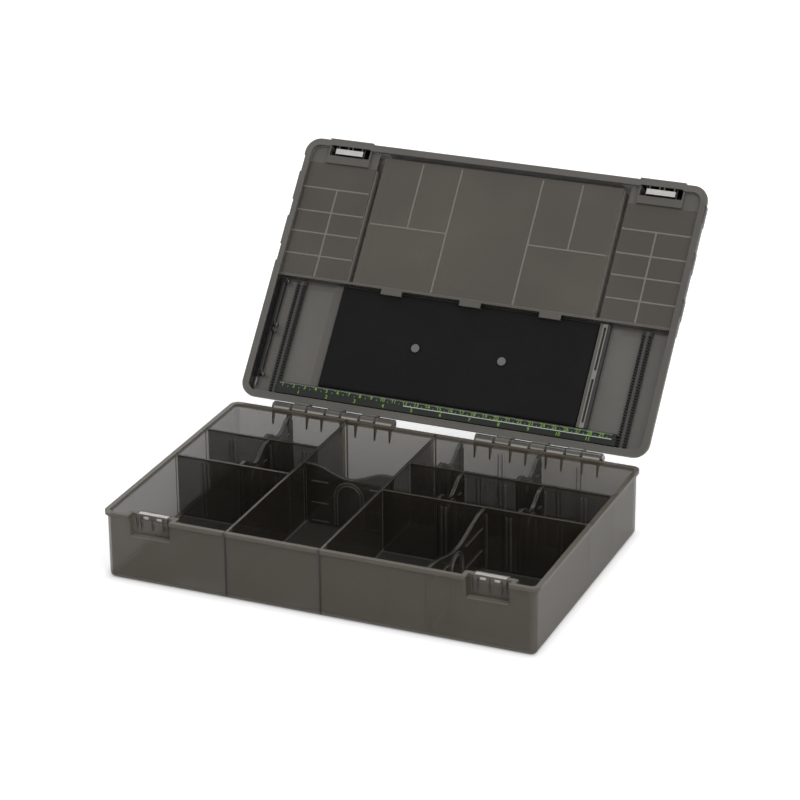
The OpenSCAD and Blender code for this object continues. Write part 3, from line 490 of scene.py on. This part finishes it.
def plastic(name, colour, roughness, cover=1.0, flow=0.2, scuffs=0.4, dust=0.1, edge=0.3, coat=0.0,
            bump=0.05, shine=0.5):
    """A plastic material around the moulded group; cover below 1 lets light through each face."""
    finish = bpy.context.scene.box_finish
    material = bpy.data.materials.new(name)
    material.use_nodes = True
    tree = material.node_tree
    shader = tree.nodes["Principled BSDF"]
    group = put(tree, "ShaderNodeGroup", node_tree=bpy.data.node_groups["moulded_plastic"],
                name="moulded")
    for label, value in (("Colour", (*colour, 1.0)), ("Edge Colour", (*finish.edge_tone, 1.0)),
                         ("Roughness", roughness), ("Flow", flow), ("Scuffs", scuffs),
                         ("Dust", dust), ("Edge", edge), ("Radius", finish.edge_round)):
        group.inputs[label].default_value = value
    height = put(tree, "ShaderNodeBump", in_Strength=bump, in_Distance=0.2 * MM)
    link(tree, (group.outputs["Colour"], shader.inputs["Base Color"]),
         (group.outputs["Roughness"], shader.inputs["Roughness"]),
         (group.outputs["Height"], height.inputs["Height"]),
         (group.outputs["Normal"], height.inputs["Normal"]),
         (height.outputs[0], shader.inputs["Normal"]))
    if cover < 1.0:
        alpha = ramp(tree, group.outputs["Edge"], 0.0, 0.3, cover, (1.0 + cover) / 2)
        link(tree, (alpha, shader.inputs["Alpha"]))
    shader.inputs["IOR"].default_value = 1.52
    shader.inputs["Specular IOR Level"].default_value = shine
    shader.inputs["Coat Weight"].default_value = coat
    shader.inputs["Coat Roughness"].default_value = 0.08
    return material


def overlay(material, mask, colour, cover):
    """Lays a colour over a plastic where a mask is 1, and a cover too unless it is None."""
    tree = material.node_tree
    shader = tree.nodes["Principled BSDF"]
    base = shader.inputs["Base Color"].links[0].from_socket
    link(tree, (mix_colour(tree, mask, base, colour), shader.inputs["Base Color"]))
    if cover is not None:
        alpha = shader.inputs["Alpha"]
        covered = maths(tree, "MULTIPLY", mask, cover)
        link(tree, (most(tree, alpha.links[0].from_socket, covered), alpha))


def opening(name):
    """Lowest and highest corners of one of the record's openings."""
    for row in frame["record"]["physics"]["openings"]:
        if row["name"] == name:
            return Vector(row["box_m"][0]), Vector(row["box_m"][1])
    raise KeyError(name)


def mark_tray(material):
    """Painted light on outer and side walls, painted glow and shade on the rear wall, a dense floor and flange,
    painted shade at wall roots and ribs, a painted lip highlight.
    """
    tree = material.node_tree
    x, y, z = object_axes(tree)
    side, depth = size_of(tree, x), size_of(tree, y)
    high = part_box("base_tray")[1]
    magnet_low, magnet_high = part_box("magnet_tray_right")
    front = opening("left_front"), opening("middle_front"), opening("right_front_inner")
    rows = opening("left_front"), opening("left_middle_inner"), opening("left_rear_inner")
    inner_x, inner_y = -front[0][0].x - WALL_SKIN, -front[0][0].y - WALL_SKIN
    magnet_x = (magnet_low.x + magnet_high.x) / 2
    under_flange = below(tree, z, high.z - FLANGE_H)
    recess = below(tree, y, magnet_high.y)
    housing = all_of(tree, recess, near(tree, side, magnet_x, HOUSING_HALF))
    # Painted light: the outer faces of the walls and the magnet housings are lighter and warm, as lit from the
    # front.
    outer = most(tree, housing, above(tree, side, inner_x), above(tree, depth, inner_y))
    overlay(material, outer, OUTER_LIT_TONE, None)
    # Painted glow and painted shade on the rear wall: a warm tone for light coming through it, and a cover that
    # grows to the right.
    rear = all_of(tree, above(tree, y, inner_y), under_flange)
    overlay(material, rear, REAR_GLOW_TONE, ramp(tree, x, 0.0, REAR_SHADE_FADE, *REAR_SHADE_COVER))
    # Painted light: the side walls below the flange are lighter, as lit from the side; their cover is denser too.
    overlay(material, all_of(tree, above(tree, side, inner_x), under_flange), SIDE_LIT_TONE, SIDE_COVER)
    # Painted shade where inner walls meet the outer walls, partly real: the thicker plastic there is also denser.
    roots = []
    for i, axis, cells, skin in ((0, x, front, above(tree, depth, high.y - WALL_DEEP)),
                                 (1, y, rows, above(tree, side, high.x - WALL_DEEP))):
        for cell, following in zip(cells, cells[1:]):
            middle = (cell[1][i] + following[0][i]) / 2
            roots.append(all_of(tree, near(tree, axis, middle, ROOT_HALF), skin))
    overlay(material, most(tree, *roots), DEEP_SHADE_TONE, ROOT_COVER)
    floor = maths(tree, "MULTIPLY", below(tree, z, FLOOR_TOP), FLOOR_COVER)
    flange = maths(tree, "MULTIPLY", above(tree, z, high.z - FLANGE_H), FLANGE_COVER)
    alpha = tree.nodes["Principled BSDF"].inputs["Alpha"]
    link(tree, (most(tree, alpha.links[0].from_socket, floor, flange), alpha))
    # Painted shade on the ribs in the recess, with denser plastic too.
    away = size_of(tree, maths(tree, "SUBTRACT", side, magnet_x))
    ribs = most(tree, *(near(tree, away, place, RIB_HALF) for place in RIB_PLACES))
    ribs = all_of(tree, ribs, recess, near(tree, z, high.z - RIB_BELOW, RIB_REACH))
    overlay(material, ribs, DEEP_SHADE_TONE, RIB_COVER)
    # Painted highlight along the top edge of the recess lip.
    lip = all_of(tree, recess, below(tree, away, LIP_ACROSS),
                 near(tree, z, high.z - LIP_BELOW, LIP_HALF))
    overlay(material, lip, LIP_HIGHLIGHT_TONE, LIP_COVER)


def mark_pockets(material):
    """Makes the lid's plastic black and solid inside the two pockets round its magnets, as painted shade."""
    tree = material.node_tree
    low, high = lid_extent("magnet_lid_right")
    x, forward, out = lid_axes(tree)
    away = size_of(tree, maths(tree, "SUBTRACT", size_of(tree, x), (low.x + high.x) / 2))
    inside = all_of(tree, below(tree, away, (high.x - low.x) / 2 + POCKET_SIDE),
                    above(tree, forward, low.y - POCKET_REAR),
                    below(tree, forward, high.y + POCKET_FRONT), below(tree, out, POCKET_TOP))
    overlay(material, inside, POCKET_SHADE_TONE, 1.0)


def mark_hinge(material):
    """Painted shade in the joints, on the undersides and on the tops of the knuckles, and a painted glint line in
    front.
    """
    tree = material.node_tree
    x, y, z = object_axes(tree)
    run = maths(tree, "SUBTRACT", size_of(tree, x), KNUCKLE_FROM)
    run = maths(tree, "MODULO", run, KNUCKLE_PITCH)
    # Painted glint: a bright line on the front of the knuckles above the pin.
    line = all_of(tree, near(tree, z, HINGE.z + GLINT_ABOVE, GLINT_HALF), below(tree, y, HINGE.y))
    overlay(material, line, GLINT_TONE, KNUCKLE_COVER)
    # Painted shade under the knuckles and on their tops.
    under = below(tree, z, HINGE.z - UNDER_BELOW)
    top = all_of(tree, above(tree, z, HINGE.z + TOP_ABOVE),
                 near(tree, run, KNUCKLE_MID, KNUCKLE_HALF))
    overlay(material, most(tree, under, top), UNDER_SHADE_TONE, KNUCKLE_COVER)
    # Painted shade in the gaps between knuckles.
    joints = most(tree, *(near(tree, run, place, JOINT_HALF) for place in JOINT_PLACES))
    overlay(material, joints, JOINT_SHADE_TONE, KNUCKLE_COVER)


def mark_walls(material):
    """Painted shade on the inner faces of the walls round the lid's rear half."""
    tree = material.node_tree
    low, high = lid_extent("lid_rear")
    x, forward, out = lid_axes(tree)
    inner = near(tree, size_of(tree, x), high.x - SIDE_FACE, SIDE_HALF)
    hinge_side = near(tree, forward, low.y + HINGE_FACE, HINGE_FACE_HALF)
    dark = all_of(tree, most(tree, inner, hinge_side), below(tree, out, PAN_TOP),
                  above(tree, out, PAN_BOTTOM), below(tree, forward, high.y - PAN_SHORT))
    overlay(material, dark, INNER_SHADE_TONE, INNER_COVER)


def mark_grooves(*materials):
    """Painted light in the two grooves between the lid's trays, where little light reaches."""
    rear = lid_extent("lid_rear")[1].y + GROOVE_REAR
    front = lid_extent("lid_shell")[1].y - GROOVE_FRONT
    for material in materials:
        tree = material.node_tree
        x, forward, out = lid_axes(tree)
        groove = all_of(tree, near(tree, size_of(tree, x), GROOVE_AT, GROOVE_HALF),
                        above(tree, forward, rear), below(tree, forward, front),
                        below(tree, out, GROOVE_TOP), above(tree, out, GROOVE_BOTTOM))
        overlay(material, groove, GROOVE_LIGHT_TONE, None)


def mark_rail(material):
    """A light slotted rail beside the foam, with a painted shadow along its outer edge."""
    tree = material.node_tree
    x = object_axes(tree)[0]
    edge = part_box("rig_board")[1].x
    overlay(material, above(tree, x, edge - RAIL_W), RAIL_TONE, RAIL_COVER)
    # Painted shadow: a near-black strip along the rail's outer edge.
    overlay(material, above(tree, x, edge - RAIL_EDGE), RAIL_SHADOW_TONE, RAIL_SHADOW_COVER)


def mark_comb(material):
    """A greyer bed between the comb's black teeth."""
    tree = material.node_tree
    x, _, out = lid_axes(tree)
    bed = below(tree, out, lid_extent("comb_left")[1].z - COMB_TEETH)
    middle = near(tree, size_of(tree, x), COMB_AT, COMB_HALF)
    overlay(material, all_of(tree, bed, middle), COMB_MIDDLE_TONE, None)
    overlay(material, all_of(tree, bed, maths(tree, "SUBTRACT", 1.0, middle)), COMB_BED_TONE, None)


def mark_ridges(material):
    """Painted light on the raised lines of the lid's tray floors, where ribs stand behind and catch light."""
    tree = material.node_tree
    raised = above(tree, lid_axes(tree)[2], lid_extent("lid_floor_centre")[1].z - RIDGE_H)
    overlay(material, raised, RIDGE_LIGHT_TONE, None)


def metal(name, colour, roughness, brushed):
    """A metal with fine marks along X and slight tarnish."""
    material = bpy.data.materials.new(name)
    material.use_nodes = True
    tree = material.node_tree
    shader = tree.nodes["Principled BSDF"]
    place = put(tree, "ShaderNodeTexCoord").outputs["Object"]
    stretch = put(tree, "ShaderNodeMapping", in_Scale=(40.0, 2600.0, 2600.0))
    link(tree, (place, stretch.inputs["Vector"]))
    marks = noise_at(tree, stretch.outputs[0], 1.0, 3.0, 0.6)
    stain = ramp(tree, noise_at(tree, place, 160.0, 3.0), 0.35, 0.7, 0.0, 0.35)
    rough = maths(tree, "ADD", ramp(tree, marks, 0.3, 0.7, 0.0, 0.18), roughness)
    link(tree, (mix_colour(tree, stain, colour, shade(colour, 0.72)), shader.inputs["Base Color"]),
         (rough, shader.inputs["Roughness"]))
    bump = put(tree, "ShaderNodeBump", in_Strength=brushed, in_Distance=0.05 * MM)
    link(tree, (marks, bump.inputs["Height"]), (bump.outputs[0], shader.inputs["Normal"]))
    shader.inputs["Metallic"].default_value = 1.0
    return material


def foam_material():
    """Closed-cell foam: matt black with fine cells."""
    finish = bpy.context.scene.box_finish
    material = bpy.data.materials.new("rig_foam")
    material.use_nodes = True
    tree = material.node_tree
    shader = tree.nodes["Principled BSDF"]
    place = put(tree, "ShaderNodeTexCoord").outputs["Object"]
    cells = put(tree, "ShaderNodeTexVoronoi", in_Scale=1400.0, feature="SMOOTH_F1")
    link(tree, (place, cells.inputs["Vector"]))
    patch = ramp(tree, noise_at(tree, place, 30.0, 4.0), 0.35, 0.65)
    base = tuple(finish.foam)
    tone = mix_colour(tree, patch, base, shade(base, 1.7))
    walls = ramp(tree, cells.outputs["Distance"], 0.1, 0.6, 0.0, 0.5)
    tone = mix_colour(tree, walls, tone, shade(base, 2.4))
    bump = put(tree, "ShaderNodeBump", in_Strength=0.35, in_Distance=0.15 * MM)
    link(tree, (tone, shader.inputs["Base Color"]),
         (cells.outputs["Distance"], bump.inputs["Height"]),
         (bump.outputs[0], shader.inputs["Normal"]),
         (ramp(tree, patch, 0.0, 1.0, 0.86, 0.96), shader.inputs["Roughness"]))
    shader.inputs["Specular IOR Level"].default_value = 0.1
    return material


def ink_material(name, colour, roughness=0.45):
    """Printed ink, slightly uneven."""
    material = bpy.data.materials.new(name)
    material.use_nodes = True
    tree = material.node_tree
    shader = tree.nodes["Principled BSDF"]
    place = put(tree, "ShaderNodeTexCoord").outputs["Object"]
    worn = ramp(tree, noise_at(tree, place, 700.0, 3.0), 0.3, 0.7, 0.0, 0.6)
    link(tree, (mix_colour(tree, worn, colour, shade(colour, 0.55)), shader.inputs["Base Color"]))
    bump = put(tree, "ShaderNodeBump", in_Strength=0.1, in_Distance=0.02 * MM)
    link(tree, (worn, bump.inputs["Height"]), (bump.outputs[0], shader.inputs["Normal"]))
    shader.inputs["Roughness"].default_value = roughness
    return material


def finish_node(name, material):
    """Gives one CAD node its material."""
    mesh = NODES[name].data
    mesh.materials.clear()
    mesh.materials.append(material)


def make_piece(name, mesh, material, body, place=None):
    """Links a new mesh object, gives it its material and lets it ride on a body."""
    piece = bpy.data.objects.new(name, mesh)
    bpy.context.scene.collection.objects.link(piece)
    if place is not None:
        mesh.transform(place)
    mesh.materials.append(material)
    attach(piece, body)
    return piece


# ------------------------------------------------------------------ operators


class BOX_OT_smoked_plastic(bpy.types.Operator):
    """Smoked plastic on the tray, the lid, the doors, the dividers and the rig board"""

    bl_idname = "box.smoked_plastic"
    bl_label = "Smoked Plastic"

    def execute(self, context):
        finish = context.scene.box_finish
        smoke, smoke_lid = tuple(finish.smoke), tuple(finish.smoke_lid)
        smoke_floors = tuple(finish.smoke_floors)
        moulded_group()
        tray = plastic("smoked_tray", smoke, 0.16, cover=finish.tray_cover, edge=0.6)
        divider = plastic("smoked_divider", smoke, 0.2, cover=finish.tray_cover, edge=0.6)
        # The hinge is a lighter copy of the tray's smoked plastic: painted light on the knuckles.
        hinge = plastic("smoked_hinge", shade(smoke, 2.4), 0.1, cover=0.96, edge=1.0, coat=0.5)
        shell = plastic("smoked_lid", smoke_lid, 0.22, cover=finish.lid_cover)
        floors = plastic("smoked_lid_floors", smoke_floors, 0.24, cover=finish.lid_cover, edge=0.6)
        board = plastic("smoked_board", smoke_lid, 0.22, cover=finish.lid_cover, edge=0.6)
        # The grids are a lighter copy of the floors' plastic, painted light on the walls seen in the grooves.
        lit_grids = plastic("smoked_lid_grids", shade(smoke_floors, 2.2), 0.3, cover=0.9)
        mark_tray(tray)
        mark_pockets(shell)
        mark_walls(shell)
        mark_grooves(shell, lit_grids)
        side_floors = plastic("smoked_side_floors", shade(smoke_floors, 0.82), 0.24,
                              cover=finish.lid_cover, edge=0.6)
        mark_ridges(floors)
        mark_ridges(side_floors)
        mark_hinge(hinge)
        mark_rail(board)
        for prefix, material in (
                ("base_tray", tray), ("divider", divider), ("rig_board", board), ("door", shell),
                ("hinge_tray", hinge), ("hinge_lid", hinge), ("lid_grid", lit_grids),
                ("lid_shell", shell), ("lid_rear", shell), ("lid_step", shell),
                ("lid_floor", side_floors), ("lid_floor_centre", floors)):
            for name in NODES:
                if name.startswith(prefix) and "pin" not in name:
                    finish_node(name, material)
        return {"FINISHED"}


class BOX_OT_metal_parts(bpy.types.Operator):
    """Steel on the hinge pins and nickel on the magnets"""

    bl_idname = "box.metal_parts"
    bl_label = "Pins and Magnets"

    def execute(self, context):
        steel = metal("pin_steel", STEEL, 0.25, 0.25)
        nickel = metal("nickel", NICKEL, 0.22, 0.25)
        for name in NODES:
            if "magnet" in name:
                finish_node(name, nickel)
            elif "pin" in name:
                finish_node(name, steel)
        return {"FINISHED"}


class BOX_OT_fittings(bpy.types.Operator):
    """Black plastic on the combs, clips and ruler, and grey on the foam's buttons"""

    bl_idname = "box.fittings"
    bl_label = "Combs, Clips and Buttons"

    def execute(self, context):
        black = plastic("comb_black", BLACK, 0.35, dust=0.2, edge=0.12, shine=0.2)
        clip = plastic("clip_black", BLACK, 0.25, dust=0.05, edge=0.25, shine=0.4)
        strip = plastic("ruler_black", RULER_BLACK, 0.3, dust=0.05, edge=0.1, shine=0.15)
        mark_comb(black)
        grey = plastic("button_grey", BUTTON_GREY, 0.4, dust=0.1)
        for name in NODES:
            if name.startswith("comb"):
                finish_node(name, black)
            elif name.startswith("tool"):
                finish_node(name, clip)
            elif "button" in name:
                finish_node(name, grey)
        finish_node("ruler_strip", strip)
        return {"FINISHED"}


class BOX_OT_rig_foam(bpy.types.Operator):
    """The foam pad, with rolled edges and a dimple round each button"""

    bl_idname = "box.rig_foam"
    bl_label = "Rig Foam"

    def execute(self, context):
        inverse = lid_place(0.0, 0.0, 0.0).inverted()
        low, high = lid_extent("foam_pad")
        buttons = []
        for side in ("left", "right"):
            lower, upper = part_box("foam_button_" + side)
            buttons.append(inverse @ ((lower + upper) / 2))
        step, sink, roll, roll_share = 1.6 * MM, 0.25 * MM, 1.1 * MM, 0.9
        dimple, dimple_reach = 0.35 * MM, 5.5 * MM
        unevenness, waves = 0.07 * MM, 90.0
        across = round((high.x - low.x) / step)
        along = round((high.y - low.y) / step)
        mesh = bmesh.new()
        rows = []
        for j in range(along + 1):
            row = []
            for i in range(across + 1):
                x = low.x + (high.x - low.x) * i / across
                y = low.y + (high.y - low.y) * j / along
                rim = min(x - low.x, high.x - x, y - low.y, high.y - y)
                rolled = roll - math.sqrt(roll * roll - (roll - min(rim, roll)) ** 2)
                drop = sink + rolled * roll_share
                for button in buttons:
                    away = math.hypot(x - button.x, y - button.y)
                    drop += dimple * math.exp(-(away / dimple_reach) ** 2)
                drop += unevenness * noise.noise(Vector((x, y, 0.0)) * waves)
                row.append(mesh.verts.new((x, y, high.z - drop)))
            rows.append(row)
        for j in range(along):
            for i in range(across):
                mesh.faces.new((rows[j][i], rows[j][i + 1], rows[j + 1][i + 1], rows[j + 1][i]))
        edge = (rows[0] + [row[-1] for row in rows[1:-1]] + rows[-1][::-1]
                + [row[0] for row in rows[-2:0:-1]])
        base = [mesh.verts.new((v.co.x, v.co.y, low.z)) for v in edge]
        count = len(edge)
        for i in range(count):
            k = (i + 1) % count
            mesh.faces.new((edge[k], edge[i], base[i], base[k]))
        mesh.faces.new(base[::-1])
        for face in mesh.faces:
            face.smooth = True
        mesh.normal_update()
        data = bpy.data.meshes.new("rig_foam")
        mesh.to_mesh(data)
        mesh.free()
        foam = make_piece("rig_foam", data, foam_material(), "lid",
                          lid_place(0.0, 0.0, 0.0))
        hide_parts("foam_pad")
        return {"FINISHED"}


class BOX_OT_ruler_print(bpy.types.Operator):
    """Plain figures and marks printed on the ruler: centimetres above, inches below"""

    bl_idname = "box.ruler_print"
    bl_label = "Ruler Print"

    def execute(self, context):
        ruler = context.scene.box_ruler
        low, high = lid_extent("ruler_strip")
        face = high.z
        middle = (low.y + high.y) / 2
        mesh = bmesh.new()
        scale_x = ruler.first_x - CENTIMETRE
        for i in range(1, ruler.centimetres + 1):
            self.figure(mesh, str(i), scale_x + i * CENTIMETRE, middle + CM_ROW, ruler)
            self.mark(mesh, scale_x + (i + 0.5) * CENTIMETRE, middle + HALF_ROW, *HALF_MARK, ruler)
        for i in range(1, int(ruler.centimetres * CENTIMETRE / INCH) + 1):
            self.figure(mesh, str(i), scale_x + i * INCH, middle - INCH_ROW, ruler)
        data = bpy.data.meshes.new("ruler_figures")
        mesh.to_mesh(data)
        mesh.free()
        green = ink_material("ruler_green", tuple(context.scene.box_finish.print_green))
        make_piece("ruler_figures", data, green, "lid", self.on_face(face))
        mesh = bmesh.new()
        for i in range(int((high.x - low.x) / MM) - 2 * END_MARKS):
            x = low.x + (END_MARKS + i) * MM
            tall = TALL_MARK if i % 10 == 0 else SHORT_MARK
            self.mark(mesh, x, middle + MARKS_TOP - tall / 2, MARK_W, tall, ruler)
        self.mark(mesh, (low.x + high.x) / 2 + LINE_AT, middle + LINE_ROW, LINE_L, LINE_W, ruler)
        data = bpy.data.meshes.new("ruler_marks")
        mesh.to_mesh(data)
        mesh.free()
        pale = ink_material("ruler_pale", RULER_PALE)
        make_piece("ruler_marks", data, pale, "lid", self.on_face(face))
        return {"FINISHED"}

    @staticmethod
    def on_face(face):
        """Places a print on the ruler's face."""
        return lid_place(0.0, 0.0, 0.0) @ Matrix.Translation((0.0, 0.0, face))

    @staticmethod
    def mark(mesh, x, y, width, tall, ruler):
        """One printed bar, centred at x and y."""
        made = bmesh.ops.create_cube(mesh, size=1.0)
        size = Matrix.Diagonal((width, tall, ruler.ink, 1.0))
        shape = Matrix.Translation((x, y, ruler.ink / 2)) @ size
        bmesh.ops.transform(mesh, matrix=shape, verts=made["verts"])

    @staticmethod
    def figure(mesh, text, x, y, ruler):
        """One printed number, centred at x and y."""
        curve = bpy.data.curves.new("figure", "FONT")
        curve.body = text
        curve.size = ruler.figure_h * TEXT_SIZE
        curve.align_x = "CENTER"
        curve.align_y = "CENTER"
        curve.extrude = ruler.ink / 2
        curve.resolution_u = 3
        holder = bpy.data.objects.new("figure", curve)
        bpy.context.scene.collection.objects.link(holder)
        bpy.context.view_layer.update()
        graph = bpy.context.evaluated_depsgraph_get()
        shape = bpy.data.meshes.new_from_object(holder.evaluated_get(graph))
        shape.transform(Matrix.Translation((x, y, ruler.ink / 2)))
        mesh.from_mesh(shape)
        bpy.data.objects.remove(holder)
        bpy.data.meshes.remove(shape)
        bpy.data.curves.remove(curve)


class BOX_OT_stage(bpy.types.Operator):
    """Floor, white surround, soft lamps and the camera"""

    bl_idname = "box.stage"
    bl_label = "Studio"

    def execute(self, context):
        stage = context.scene.box_stage
        context.scene.view_settings.view_transform = "Standard"
        self.surround(context)
        self.floor(context, stage)
        self.lamps()
        self.camera(context, stage)
        return {"FINISHED"}

    @staticmethod
    def seen_white(tree):
        """1 for rays that come straight from the camera, a reflection or glass."""
        path = put(tree, "ShaderNodeLightPath")
        return most(tree, *(path.outputs[ray] for ray in
                            ("Is Camera Ray", "Is Glossy Ray", "Is Transmission Ray")))

    def surround(self, context):
        """A white world that lights the box less than it shows."""
        world = bpy.data.worlds.new("studio")
        context.scene.world = world
        world.use_nodes = True
        tree = world.node_tree
        ground = tree.nodes["Background"]
        ground.inputs["Color"].default_value = (1.0, 1.0, 1.0, 1.0)
        strength = ramp(tree, self.seen_white(tree), 0.0, 1.0, WORLD_LIGHT, 1.0)
        link(tree, (strength, ground.inputs["Strength"]))

    def floor(self, context, stage):
        """A pale floor that is seen almost white and keeps the box's shadow; under the tray its glow is left off,
        a painted shadow.
        """
        material = bpy.data.materials.new("floor")
        material.use_nodes = True
        tree = material.node_tree
        shader = tree.nodes["Principled BSDF"]
        shader.inputs["Base Color"].default_value = (*stage.floor, 1.0)
        shader.inputs["Roughness"].default_value = 0.9
        shader.inputs["Specular IOR Level"].default_value = 0.1
        shader.inputs["Emission Color"].default_value = (1.0, 1.0, 1.0, 1.0)
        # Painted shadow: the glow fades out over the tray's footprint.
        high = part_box("base_tray")[1]
        outside = []
        for axis, half in zip(object_axes(tree), (high.x, high.y)):
            away = maths(tree, "SUBTRACT", size_of(tree, axis), half)
            outside.append(ramp(tree, away, *FLOOR_SHADOW_FADE))
        path = put(tree, "ShaderNodeLightPath")
        seen = most(tree, path.outputs["Is Camera Ray"], path.outputs["Is Transmission Ray"])
        glow = maths(tree, "MULTIPLY", all_of(tree, seen, most(tree, *outside)), FLOOR_GLOW)
        link(tree, (glow, shader.inputs["Emission Strength"]))
        mesh = bmesh.new()
        bmesh.ops.create_grid(mesh, x_segments=1, y_segments=1, size=FLOOR_HALF)
        data = bpy.data.meshes.new("floor")
        mesh.to_mesh(data)
        mesh.free()
        data.materials.append(material)
        floor = bpy.data.objects.new("floor", data)
        context.scene.collection.objects.link(floor)

    @staticmethod
    def lamps():
        """A large key over the front right, a fill from the left and a soft one behind."""
        for name, place, aim, size, power in LAMPS:
            lamp = bpy.data.lights.new(name, "AREA")
            lamp.shape = "SQUARE"
            lamp.size = size
            lamp.energy = power
            holder = bpy.data.objects.new(name, lamp)
            holder.location = place
            turn = (Vector(aim) - Vector(place)).to_track_quat("-Z", "Y")
            holder.rotation_euler = turn.to_euler()
            bpy.context.scene.collection.objects.link(holder)

    @staticmethod
    def camera(context, stage):
        """The camera at the photograph's angle."""
        back = Vector((math.sin(stage.azimuth) * math.cos(stage.elevation),
                       -math.cos(stage.azimuth) * math.cos(stage.elevation),
                       math.sin(stage.elevation)))
        right = Vector((0.0, 0.0, 1.0)).cross(back).normalized()
        up = back.cross(right)
        right, up = (math.cos(stage.roll) * right + math.sin(stage.roll) * up,
                     -math.sin(stage.roll) * right + math.cos(stage.roll) * up)
        lens = bpy.data.cameras.new("photo")
        lens.lens = stage.lens
        lens.sensor_width = SENSOR_W
        lens.clip_end = VIEW_END
        camera = bpy.data.objects.new("photo", lens)
        turn = Matrix((right, up, back)).transposed().to_4x4()
        place = Vector(stage.target) + back * stage.distance
        camera.matrix_world = Matrix.Translation(place) @ turn
        context.scene.collection.objects.link(camera)
        context.scene.camera = camera


class BOX_PT_dressing(bpy.types.Panel):
    """The dressing's settings and steps"""

    bl_label = "Tackle Box"
    bl_space_type = "VIEW_3D"
    bl_region_type = "UI"
    bl_category = "Tackle Box"

    def draw(self, context):
        layout = self.layout
        for group in (context.scene.box_finish, context.scene.box_ruler, context.scene.box_stage):
            box = layout.box()
            for key in group.bl_rna.properties.keys():
                if key not in ("rna_type", "name"):
                    box.prop(group, key)
        for step in STEPS:
            layout.operator(step.bl_idname)


STEPS = (BOX_OT_stage, BOX_OT_smoked_plastic, BOX_OT_metal_parts, BOX_OT_fittings, BOX_OT_rig_foam,
         BOX_OT_ruler_print)
GROUPS = (FinishSettings, RulerSettings, StageSettings)


def register():
    """Registers the settings, steps and panel."""
    for kind in GROUPS + STEPS + (BOX_PT_dressing,):
        bpy.utils.register_class(kind)
    bpy.types.Scene.box_finish = bpy.props.PointerProperty(type=FinishSettings)
    bpy.types.Scene.box_ruler = bpy.props.PointerProperty(type=RulerSettings)
    bpy.types.Scene.box_stage = bpy.props.PointerProperty(type=StageSettings)


def unregister():
    """Removes what register added."""
    del bpy.types.Scene.box_stage
    del bpy.types.Scene.box_ruler
    del bpy.types.Scene.box_finish
    for kind in reversed(GROUPS + STEPS + (BOX_PT_dressing,)):
        bpy.utils.unregister_class(kind)


def main():
    """Builds the whole scene."""
    register()
    for step in STEPS:
        group, name = step.bl_idname.split(".")
        getattr(getattr(bpy.ops, group), name)()


if __name__ == "__main__":
    main()
